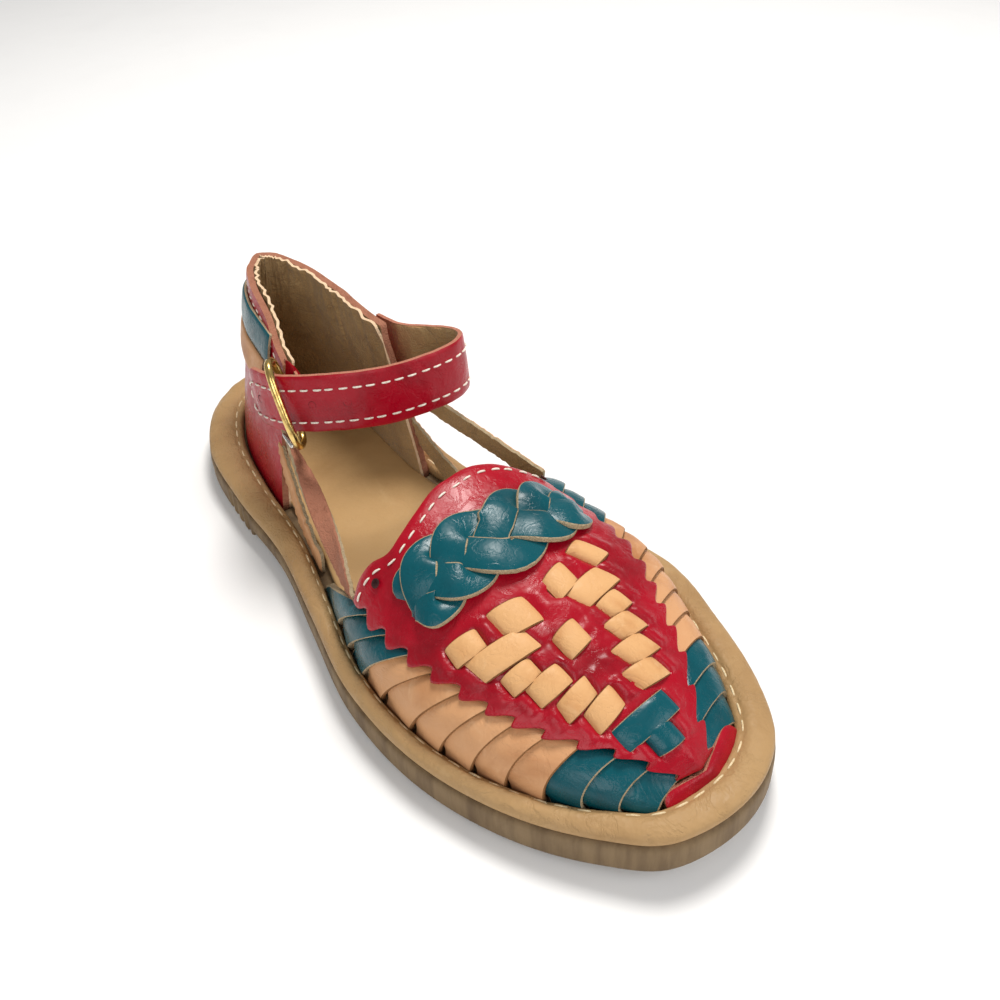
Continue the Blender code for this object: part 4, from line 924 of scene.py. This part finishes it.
def square_frame(share, turn, heading):
    """Centre, normal and the square's own two directions on the last."""
    centre = last_surface(share, turn)
    normal = Vector(last_normal(share, turn))
    forward = Vector(last_surface(share + 0.01, turn) - centre)
    forward = (forward - normal * forward.dot(normal)).normalized()
    forward.rotate(Matrix.Rotation(math.radians(heading + 90), 3, normal))
    return Vector(centre), normal, forward, normal.cross(forward)


square_places = [square_frame(*row[:3]) for row in SQUARES]

# %% Shield
SHIELD_TOP = 0.75 * MM
SHIELD_COLUMNS = 97


def saw(tip):
    """Zigzag of the border: -1 at a strip's rear edge, rising to 1 at its front edge."""
    keys = np.array(TIPS)
    k = np.clip(np.searchsorted(keys, tip, side="right") - 1, 0, len(keys) - 2)
    t = np.clip((tip - keys[k]) / (keys[k + 1] - keys[k]), 0, 1)
    return np.where(t < 0.72, -np.cos(np.pi * t / 0.72), np.cos(np.pi * (t - 0.72) / 0.28))


tips = np.concatenate([np.linspace(a, b, 12, endpoint=False) for a, b in zip(TIPS, TIPS[1:])])
tips = np.append(tips, TIPS[-1])
fade = np.clip((tips - TIPS[0]) / 0.05, 0, 1)
left = border_turn(tips, "lateral") + SCALLOP * saw(tips) * fade
right = border_turn(tips, "medial") - SCALLOP * saw(tips) * fade
across = np.linspace(0, 1, SHIELD_COLUMNS)
across = 0.35 * 0.5 * (1 - np.cos(np.pi * across)) + 0.65 * across
shield_turn = left[:, None] + (right - left)[:, None] * across[None, :]
shield_line = shield_share(shield_turn, np.tile(tips[:, None], (1, SHIELD_COLUMNS)))
flat = last_surface(shield_line, shield_turn)
relief = np.full(flat.shape[:2], SHIELD_TOP)
for (centre, normal, forward, sideways), row in zip(square_places, SQUARES):
    away = flat - np.array(centre)
    t = away @ np.array(sideways)
    s = away @ np.array(forward) + t * math.tan(math.radians(row[3]))
    long, wide = row[4] * MM / 2, row[5] * MM / 2
    inside = np.exp(-(t / (wide * 1.05)) ** 6)
    for end in (-1, 1):
        slit = np.exp(-((s - end * (long + 0.2 * MM)) / (0.55 * MM)) ** 2) * inside
        puff = np.exp(-((s - end * (long + 2.2 * MM)) / (1.4 * MM)) ** 2) * inside
        relief += -1.1 * MM * slit + 0.55 * MM * puff
for i, j in np.ndindex(relief.shape):
    for size, fineness in ((0.16, 160), (0.05, 420)):
        relief[i, j] += size * MM * noise.noise(Vector(flat[i, j] * fineness))
shield_normal = last_normal(shield_line, shield_turn)
shield_face = flat + shield_normal * relief[..., None]
leather_piece("red_shield", [dict(face=shield_face, thickness=1.3 * MM, normals=shield_normal, roll=0.3)],
              [red_hide, red_cut_edge, suede], ["upper"])
print("shield grid:", relief.shape)


# %% [markdown]
# Each woven square is a strip that comes up through one slit and goes down through the next. Its face
# bulges in the middle and dives at both slits, and its two long edges show the cut leather. On the
# natural squares that edge is dark brown, partly the leather's own edge and partly painted shade of the
# slits.

# %% Woven squares
SQUARE_LONGER, SQUARE_WIDER = 1.09, 1.18


def woven_square(place, long, wide, skew, seed):
    centre, normal, forward, sideways = place
    rows = []
    for s in (-1.12, -1.0, -0.93, -0.82, -0.6, -0.3, 0, 0.3, 0.6, 0.82, 0.93, 1.0, 1.12):
        row = []
        for t in (-1, -0.94, -0.8, -0.5, 0, 0.5, 0.8, 0.94, 1):
            bulge = 1.40 * (1 - abs(s / 1.12) ** 2.8) - 0.36 * t ** 4
            wave = 0.14 * noise.noise(Vector((seed * 5.1 + s, t, seed)))
            ahead = s * long / 2 - t * wide / 2 * math.tan(math.radians(skew))
            beside = t * wide / 2 * (1.0 - 0.06 * s * s)
            row.append(centre + forward * ahead + sideways * beside + normal * (bulge + wave - 0.15) * MM)
        rows.append(row)
    return np.array(rows)


for colour, hide, edge in (("natural", square_hide, brown_edge_painted_shade), ("teal", teal_hide, cut_edge)):
    sheets = []
    for k, (row, place) in enumerate(zip(SQUARES, square_places)):
        if row[6] == colour[0]:
            face = woven_square(place, row[4] * SQUARE_LONGER * MM, row[5] * SQUARE_WIDER * MM, row[3], k)
            up = np.tile(np.array(place[1]), face.shape[:2] + (1,))
            face = face + up * SHIELD_TOP
            sheets.append(dict(face=face, thickness=0.9 * MM, normals=up, roll=0.25, raw=True))
    leather_piece("woven_squares_" + colour, sheets, [hide, edge, suede], ["upper"])
print("woven squares:", len(SQUARES))

# %% [markdown]
# ## The toe tab
# In front of the shield a last red strip closes the toe and turns down into the seam.

# %% Toe tab
share_grid, turn_grid = np.meshgrid(np.linspace(0, 1, 16), np.linspace(0.02, 0.98, 61), indexing="ij")
middle = np.abs(turn_grid - 0.5) * 2
start = 0.912 + 0.068 * smooth_step((middle - 0.25) / 0.6)
share_grid = start + (1.0 - start) * share_grid
tab_height = 1.25 * MM * (1 - 0.75 * smooth_step((middle - 0.55) / 0.4))
tab_points = on_last(share_grid, turn_grid, tab_height)
tab_points[..., 2] = np.maximum(tab_points[..., 2], seat(tab_points[..., 1]))
tab_normals = last_normal(share_grid, turn_grid)
leather_piece("toe_tab", [dict(face=tab_points, thickness=1.2 * MM, normals=tab_normals)],
              [red_hide, red_cut_edge, suede], ["upper"])


# %% [markdown]
# ## The plait
# Three teal strips are plaited across the vamp. Each swings from side to side and over and under, a
# third of a turn apart, and stays flat, so the crossings read as overlapping leaves.

# %% Plait
BRAID_LINE = [(0.256, 0.285), (0.238, 0.350), (0.218, 0.430), (0.210, 0.520), (0.226, 0.610), (0.256, 0.695)]
BRAID_WIDTH = 17 * MM
BRAID_TURNS = 1.75
BRAID_STRIP = 7.4 * MM
BRAID_COLUMNS = np.array([-1, -0.93, -0.84, -0.66, -0.4, -0.14, 0.14, 0.4, 0.66, 0.84, 0.93, 1])


def plait_strip(number, count=84):
    line = open_curve(BRAID_LINE, count)
    run = np.linspace(0, 1, count)
    phase = 2 * math.pi * (run ** 1.15 * BRAID_TURNS + number / 3)
    fade = smooth_step(np.minimum(run, 1 - run) / 0.16)
    swing = (BRAID_WIDTH - BRAID_STRIP) / 2
    share = line[:, 0] + swing * (0.6 + 0.4 * fade) * np.sin(phase) / SEAM_RUN
    turn = line[:, 1]
    height = SHIELD_TOP + MM * (0.15 + 1.0 * (1 + np.sin(2 * phase)) * (0.2 + 0.8 * fade))
    ahead = unit(np.gradient(on_last(share, turn, height), axis=0))
    side = np.cross(ahead, last_normal(share, turn))
    step = 0.004
    bulge = 0.42 * MM * (1 - np.abs(BRAID_COLUMNS) ** 2.0)
    face, up = [], []
    for k, (a, b) in enumerate(zip(share, turn)):
        along = (last_surface(a + step, b) - last_surface(a - step, b)) / (2 * step)
        over = (last_surface(a, b + step) - last_surface(a, b - step)) / (2 * step)
        slope = np.linalg.pinv(np.column_stack([along, over])) @ side[k]
        reach = BRAID_COLUMNS * BRAID_STRIP / 2 * (0.62 + 0.38 * fade[k])
        s, t = a + slope[0] * reach, b + slope[1] * reach
        dive = 1.0 * MM * (1 - smooth_step(min(run[k], 1 - run[k]) / 0.05))
        face.append(on_last(s, t, height[k] + 0.9 * MM + bulge - dive))
        up.append(last_normal(s, t))
    return np.array(face), np.array(up)


sheets = []
for face, up in (plait_strip(number) for number in range(3)):
    sheets.append(dict(face=face, thickness=1.25 * MM, normals=up, roll=0.12, raw=True))
leather_piece("teal_plait", sheets, [teal_hide, cut_edge, suede], ["braid"])

# %% [markdown]
# ## The heel counter
# A curved wall of red leather with a suede lining stands round the heel. It narrows upwards and leans
# to the inner side. Its raw top edge is thick and pinkish, and the lining peeps out above it.

# %% Counter surface
COUNTER = 57 * MM
COUNTER_TOP = [(-1.00, 0.915), (-0.60, 0.930), (-0.20, 0.985), (0.00, 1.000), (0.25, 0.985), (0.55, 0.965),
               (0.80, 0.920), (1.00, 0.820)]
LATERAL_REACH = places_at(57 * MM)[0]
MEDIAL_REACH = loop_count - places_at(72 * MM)[1]
COUNTER_SLANT = (8 * MM, 13 * MM)
COUNTER_NARROWING = (0.45, 0.37)
COUNTER_SHIFT = 4.0 * MM
COUNTER_LEAN = 4.6 * MM


def counter_surface(way, height):
    way, height = np.broadcast_arrays(np.asarray(way, float), np.asarray(height, float))
    spots = np.where(way >= 0, way * LATERAL_REACH, way * MEDIAL_REACH)
    plan = edge_at(spots.ravel(), 0.0, 1.0).reshape(way.shape + (2,))
    rise = np.clip((height - SOLE_TOP) / (COUNTER - SOLE_TOP), 0, 1.1)
    back = 1 - smooth_step(plan[..., 1] / (0.16 * LENGTH))
    front = smooth_step((plan[..., 1] / LENGTH - 0.16) / 0.15)
    slant = np.where(plan[..., 0] > 0, *COUNTER_SLANT)
    narrowing = np.where(plan[..., 0] > 0, *COUNTER_NARROWING)
    x = plan[..., 0] * (1 - narrowing * rise ** 1.3) - COUNTER_SHIFT * rise
    y = plan[..., 1] + COUNTER_LEAN * back * rise ** 1.5 - slant * front * rise
    return np.stack([x, y, height + 0 * x], axis=-1)


def counter_normal(way, height):
    step = 0.004
    past = counter_surface(way + step, height) - counter_surface(way - step, height)
    above = counter_surface(way, height + MM) - counter_surface(way, height - MM)
    normal = np.cross(past, above)
    normal[..., 2] = normal[..., 2] * smooth_step((height - SOLE_TOP) / (10 * MM))
    return unit(normal)


def counter_sheet(offset, wrinkle, top_extra, seed, rows=34, columns=140, flare=0.0, gathers=0.0):
    ways = np.linspace(-1, 1, columns)
    top = read_table(COUNTER_TOP, 1, ways) * COUNTER + top_extra
    top = top + wrinkle * 0.5 * MM * np.array([noise.noise(Vector((w * 22, seed, 0))) for w in ways])
    base = SOLE_TOP + SEAM_GAP
    levels = np.linspace(0, 1, rows) ** 0.8
    heights = base + levels[:, None] * (top - base)[None, :]
    around = np.tile(ways, (rows, 1))
    normal = counter_normal(around, heights)
    depth = np.full(around.shape, offset)
    for i, j in np.ndindex(depth.shape):
        way, height = around[i, j], heights[i, j]
        w = Vector((way * 7, height * 110, seed))
        depth[i, j] += wrinkle * MM * (noise.noise(w) + 0.4 * noise.noise(w * 3.1)) * levels[i]
        pleat = noise.noise(Vector((way * 30, height * 60, seed + 3)))
        depth[i, j] += gathers * MM * pleat * float(smooth_step((levels[i] - 0.55) / 0.4))
    depth += flare * MM * smooth_step((levels - 0.90) / 0.10)[:, None]
    return counter_surface(around, heights) + normal * depth[..., None], normal


face, up = counter_sheet(-0.3 * MM, 0.18, 0.0, 2.0, flare=0.5)
outer = dict(face=face, thickness=2.0 * MM, normals=up, roll=0.08)
leather_piece("counter_outer", [outer], [red_hide, flesh, suede], ["upper"])
face, up = counter_sheet(-3.1 * MM, 0.9, 0.5 * MM, 7.0, 44, 220, gathers=1.0)
lining = dict(face=face, thickness=0.9 * MM, normals=-up, roll=0.15)
leather_piece("counter_lining", [lining], [suede, cream_edge, suede], ["upper"])

# %% [markdown]
# The front end of the outer wall is turned in under the strap, and its red corner shows there.

# %% Turned-in corner
corner = []
for high in np.linspace(0, 1, 12):
    start = counter_surface(1.0, (39.0 + 8.6 * high) * MM) + np.array([-0.8, 0.2, 0]) * MM
    reach = 5.2 * MM * (1 - high ** 1.6) + 0.4 * MM
    corner.append([start + np.array([-reach * t, 0.9 * MM * math.sin(2.6 * t), -0.3 * MM * t])
                   for t in np.linspace(0, 1, 8)])
corner = np.array(corner)
up = np.tile((0.0, 1.0, 0.0), corner.shape[:2] + (1,))
leather_piece("counter_corner", [dict(face=corner, thickness=0.9 * MM, normals=up)],
              [red_hide, flesh, suede], ["upper"])

# %% [markdown]
# Two bands, one teal and one natural, are laced round the back of the counter just under its top.

# %% Counter bands
BAND_WIDTH = 7.6 * MM


def band_sheet(height, reach):
    lateral, medial = places_at(reach)
    ways = np.linspace((medial - loop_count) / MEDIAL_REACH, lateral / LATERAL_REACH, 90)
    levels = height + np.array([-0.5, -0.47, -0.38, -0.2, 0, 0.2, 0.38, 0.47, 0.5]) * BAND_WIDTH
    around, heights = np.meshgrid(ways, levels)
    normal = counter_normal(around, heights)
    bulge = 0.9 * MM + 0.25 * MM * (1 - (np.abs(heights - height) / (BAND_WIDTH / 2)) ** 3)
    return counter_surface(around, heights) + normal * bulge[..., None], normal


for colour, height, reach, hide in (("teal", 47 * MM, 47 * MM, teal_hide),
                                    ("natural", 38.6 * MM, 42 * MM, natural_hide)):
    face, up = band_sheet(height, reach)
    leather_piece("band_" + colour, [dict(face=face, thickness=1.0 * MM, normals=up)],
                  [hide, cut_edge, suede], ["counter_band_" + colour])


# %% [markdown]
# ## Straps and laces
# A strap is a flat ribbon swept along a smooth line. Its width stays turned towards one direction,
# and its end can be rounded.

# %% Ribbon
RIBBON_COLUMNS = np.array([-1, -0.95, -0.85, -0.65, -0.35, 0, 0.35, 0.65, 0.85, 0.95, 1])


def ribbon_sheet(points, width, upright, count, bulge=0.3 * MM, round_end=False, wrinkle=0.0, seed=0.0):
    """A ribbon's face along a smooth line, with the line and its own directions at each row."""
    line = even_curve(points, count)
    ahead = unit(np.gradient(line, axis=0))
    side = unit(np.cross(ahead, np.broadcast_to(upright, (count, 3))))
    up = np.cross(side, ahead)
    run = run_along(line) / (width / 2)
    face = []
    for k in range(count):
        share = math.sqrt(max(1 - (1 - min(run[k], 1)) ** 2, 0.1)) if round_end else 1
        row = []
        for c in RIBBON_COLUMNS:
            push = bulge * (1 - c * c)
            push += wrinkle * noise.noise(Vector((run[k] * 2.4 + seed, c * 1.3, seed)))
            row.append(line[k] + up[k] * c * width / 2 * share + side[k] * push)
        face.append(row)
    return np.array(face), np.tile(side[:, None, :], (1, len(RIBBON_COLUMNS), 1)), line, up, side


# %% Ankle strap
STRAP_LINE = np.array([
    (15.8, 43.5, 37.4), (17.4, 49.0, 39.6), (16.9, 58.5, 42.4), (13.0, 66.5, 44.6), (6.7, 74.6, 46.6),
    (-1.0, 79.6, 47.0), (-10.0, 82.2, 47.0), (-19.0, 82.6, 46.6), (-24.8, 79.2, 45.4), (-25.6, 73.0, 43.8),
    (-22.8, 66.0, 42.2), (-19.6, 59.5, 41.2), (-18.4, 50.5, 40.6)]) * MM
STRAP_UP = (-0.06, -0.17, 1.0)
STRAP_WIDTH = 15 * MM
face, _, line, up, side = ribbon_sheet(STRAP_LINE, STRAP_WIDTH, STRAP_UP, 170, 0.25 * MM, True, 0.20 * MM)
outer_side = side * np.sign(side[20, 0])
face = face + (outer_side * 0.7 * MM)[:, None, :]
strap_normals = np.tile(outer_side[:, None, :], (1, face.shape[1], 1))
leather_piece("ankle_strap_face", [dict(face=face, thickness=1.3 * MM, normals=strap_normals, roll=0.2)],
              [red_hide, red_cut_edge, suede], ["ankle_strap"])
inner = ribbon_sheet(STRAP_LINE, STRAP_WIDTH - 0.6 * MM, STRAP_UP, 170, 0.0, True, 0.75 * MM, 4.0)[0]
inner = inner - (outer_side * 0.75 * MM)[:, None, :]
leather_piece("ankle_strap_lining", [dict(face=inner, thickness=0.8 * MM, normals=-strap_normals, roll=0.2)],
              [suede, natural_hide, suede], ["ankle_strap"])
run = run_along(line)

# %% [markdown]
# One row of stitches runs along the strap's upper edge, round its tip and back along the lower
# edge.

# %% Strap stitches
TIP_CENTRE = 6.5 * MM
turn_round = np.radians(np.linspace(90, 270, 40))
distance = np.concatenate([np.linspace(run[-1] - 2 * MM, TIP_CENTRE, 260),
                           TIP_CENTRE + 4.4 * MM * np.cos(turn_round),
                           np.linspace(TIP_CENTRE, run[-1] - 2 * MM, 260)])
high = np.concatenate([np.full(260, 0.52), -0.06 + 0.58 * np.sin(turn_round), np.full(260, -0.64)])
outer_at = read_line(distance, run, outer_side)
from_middle = read_line(distance, run, up) * (high * STRAP_WIDTH / 2)[:, None]
stitch_line = read_line(distance, run, line) + from_middle + outer_at * 0.92 * MM
stitch_row("strap_stitches", stitch_line, outer_at, thread, STRAP_STITCH)

# %% [markdown]
# The holes in the strap are small dark discs that sit in the leather's face, each with a rim that the
# punch pushed in. Their dark floor is painted shade for the inside of the hole.

# %% Punched holes
HOLE_RINGS = [(1.35, 0.02), (1.05, -0.06), (0.8, -0.35)]
HOLE_FLOOR = -0.45
HOLE_SIDES = 14


def punched_holes(name, places, radius):
    bm = bmesh.new()
    for centre, normal in places:
        centre, normal = Vector(centre), Vector(normal).normalized()
        side = normal.orthogonal().normalized()
        over = normal.cross(side)
        rings = [round_ring(centre + normal * high * MM, side, over, radius * reach, HOLE_SIDES)
                 for reach, high in HOLE_RINGS]
        last = skin_rings(bm, rings, smooth=False)[-1]
        low = bm.verts.new(centre + normal * HOLE_FLOOR * MM)
        for n in range(HOLE_SIDES):
            bm.faces.new((last[n], last[(n + 1) % HOLE_SIDES], low))
    add_piece(name, bm, [hole_painted_shade], outwards=False)


holes = []
for distance in (8.5, 17.5, 26.5, 35.5):
    k = int(np.searchsorted(run, distance * MM))
    holes.append((line[k] + outer_side[k] * 0.97 * MM, outer_side[k]))
punched_holes("strap_holes", holes, 0.75 * MM)

# %% [markdown]
# Two thin laces on each side tie the counter to the seam and to the rearmost teal strip.

# %% Laces
LACE_ROWS = 60
LACES = [
    ("lace_lateral_lower", 0.960, 24, [(0.35, 0.2, -0.8), (0.70, 0.4, -0.8)], 78 * MM,
     6.0, 0, natural_hide),
    ("lace_medial_lower", -0.950, 26, [(0.35, -0.6, -1.0), (0.70, -0.8, -1.0)], 84 * MM,
     5.6, 0, natural_hide),
    ("lace_lateral_upper", 0.950, 31, [(0.30, -1.0, -2.2), (0.65, -0.8, -2.0)], (0.105, 0.128),
     4.6, 200, flesh),
    ("lace_medial_upper", -0.950, 36, [(0.30, -0.8, -1.2), (0.65, -1.2, -1.4)], (0.060, 0.850),
     5.6, 0, natural_hide),
]
for name, way, height, middle, end, wide, twist, hide in LACES:
    begin = counter_surface(way, height * MM) + counter_normal(way, height * MM) * -1.3 * MM
    start, finish = np.array((0.0, 0.35, 1.0)), np.array((0.0, 0.35, 1.0))
    if isinstance(end, tuple):
        bow = MEDIAL_BOW * 0.9 if "medial" in name else 0.0
        closing = [on_last(*end, bow - 1.0 * MM)]
    else:
        spot = places_at(end)[0 if "lateral" in name else 1]
        seam = edge_at(spot, 1.3 * MM, 1.0)[0]
        closing = [np.array([*seam, SOLE_TOP + 3.9 * MM]), np.array([*seam, SOLE_TOP + 0.9 * MM])]
        finish = np.array([*loop_read(spot, tangent)[0], 0])
        finish = finish * math.copysign(1, finish[1])
    between = [begin + (closing[0] - begin) * share + np.array([out, 0, lift]) * MM
               for share, out, lift in middle]
    mix = np.linspace(0, 1, LACE_ROWS)[:, None]
    upright = start + (finish - start) * mix
    if twist:
        angle = np.radians(twist) * mix
        upright = upright * np.cos(angle) + np.array((1.0, 0.2, 0.0)) * np.sin(angle)
    face, normals, _, _, side = ribbon_sheet([begin] + between + closing, wide * MM, upright, LACE_ROWS,
                                             0.2 * MM, False, 0.35 * MM, len(name))
    normals = normals * np.sign(side[30, 0]) * (1 if "lateral" in name else -1)
    leather_piece(name, [dict(face=face + normals * 0.6 * MM, thickness=1.2 * MM, normals=normals)],
                  [hide, cut_edge, suede], ["upper"])

# %% [markdown]
# ## The buckle
# A loop of brass wire stands round the strap, a red tab folds round its rear side, and a loose steel
# prong hangs at its foot. The wire is a bevelled curve, the simplest way to a round section.

# %% Buckle frame
WIRE_RADIUS = 1.0 * MM
WIRE_POINTS = 96
centre = Vector((15.7, 59.8, 42.2)) * MM
upright = Vector((-0.02, -0.50, 0.86)).normalized()
across_dir = Vector((0.55, 0.83, 0.20))
across_dir = (across_dir - upright * across_dir.dot(upright)).normalized()
half_long, half_wide = 12.0 * MM - WIRE_RADIUS, 6.2 * MM - WIRE_RADIUS
wire = bpy.data.curves.new("brass_frame", "CURVE")
wire.dimensions = "3D"
wire.bevel_depth = WIRE_RADIUS
wire.bevel_resolution = 5
spline = wire.splines.new("POLY")
spline.points.add(WIRE_POINTS - 1)
for k in range(WIRE_POINTS):
    angle = 2 * math.pi * k / WIRE_POINTS
    wide, tall = (math.copysign(abs(v) ** 0.7, v) for v in (math.cos(angle), math.sin(angle)))
    spline.points[k].co = (*(centre + across_dir * wide * half_wide + upright * tall * half_long), 1)
spline.use_cyclic_u = True
wire.use_fill_caps = True
buckle = bpy.data.objects.new("brass_frame", wire)
bpy.context.scene.collection.objects.link(buckle)
wire.materials.append(brass)
buckle.location = (0, -LENGTH / 2, 0)
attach(buckle, "root")
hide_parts("buckle_frame")

# %% Buckle tab and prong
TAB_LINE = np.array([(14.1, 49.4, 41.0), (14.8, 52.6, 41.0), (15.0, 55.4, 41.0), (13.3, 57.8, 41.0),
                     (10.3, 57.0, 41.0), (8.9, 54.0, 41.0), (8.7, 49.4, 41.0)]) * MM
PRONG_SECTIONS = [(0, 0.3), (0.03, 0.6), (0.1, 0.7), (0.4, 0.66), (0.75, 0.54), (0.93, 0.38), (1.0, 0.15)]
face, normals, tab_line, _, side = ribbon_sheet(TAB_LINE, 6.5 * MM, (-0.15, -0.44, 0.88), 48, 0.0)
normals = normals * np.sign(np.sum(side * (tab_line - tab_line.mean(0)), axis=1).mean())
leather_piece("buckle_tab", [dict(face=face + normals * 0.5 * MM, thickness=1.0 * MM, normals=normals)],
              [red_hide, red_cut_edge, suede], ["buckle_tab"])
foot = centre - upright * half_long + across_dir.cross(upright) * 2.0 * MM
tip = Vector((17.6, 59.4, 33.6)) * MM
ahead = (tip - foot).normalized()
side_dir = ahead.cross(upright).normalized()
over_dir = side_dir.cross(ahead)
rings = [round_ring(foot + (tip - foot) * share, side_dir, over_dir, radius * MM, 16)
         for share, radius in PRONG_SECTIONS]
bm = bmesh.new()
skin_rings(bm, rings, capped=True)
add_piece("steel_prong", bm, [steel], ["buckle_prong"])

# %% [markdown]
# ## Thread on the upper
# White stitches follow the rear edge of the throat flap, and the counter under its top edge. A small
# hole is punched in each ear of the flap.

# %% Upper stitches
turns = np.linspace(0.17, 0.765, 220)
shares = read_table(REAR_EDGE, 1, turns) + 0.026
flap_line = on_last(shares, turns, np.full(220, SHIELD_TOP + 0.1 * MM))
stitch_row("flap_stitches", flap_line, last_normal(shares, turns), thread, FLAP_STITCH)
ways = np.linspace(-0.97, 0.97, 300)
heights = read_table(COUNTER_TOP, 1, ways) * COUNTER - 2.6 * MM
normals = counter_normal(ways, heights)
counter_line = counter_surface(ways, heights) + normals * (-0.25 * MM)
stitch_row("counter_stitches", counter_line, normals, thread, COUNTER_STITCH)
ears = ((0.153, 0.249), (0.115, 0.744))
ear_places = [(on_last(*ear, SHIELD_TOP + 0.6 * MM), last_normal(*ear)) for ear in ears]
# The ear holes are dents with the same painted-shade floor.
punched_holes("ear_holes", ear_places, 0.8 * MM)

# %% [markdown]
# ## The floor
# A plain pale sheet catches the soft shadow and is no part of the sandal.

# %% Floor
bm = bmesh.new()
bmesh.ops.create_grid(bm, x_segments=1, y_segments=1, size=3.0)
mesh = bpy.data.meshes.new("floor")
bm.to_mesh(mesh)
bm.free()
floor = bpy.data.objects.new("floor", mesh)
bpy.context.scene.collection.objects.link(floor)
floor.location = (0, 0, -0.0002)
paper = plain_finish("pale_paper", (0.93, 0.93, 0.93), (0.91, 0.91, 0.91), 0.85, 0.0, 30.0, 0.02)
mesh.materials.append(paper)
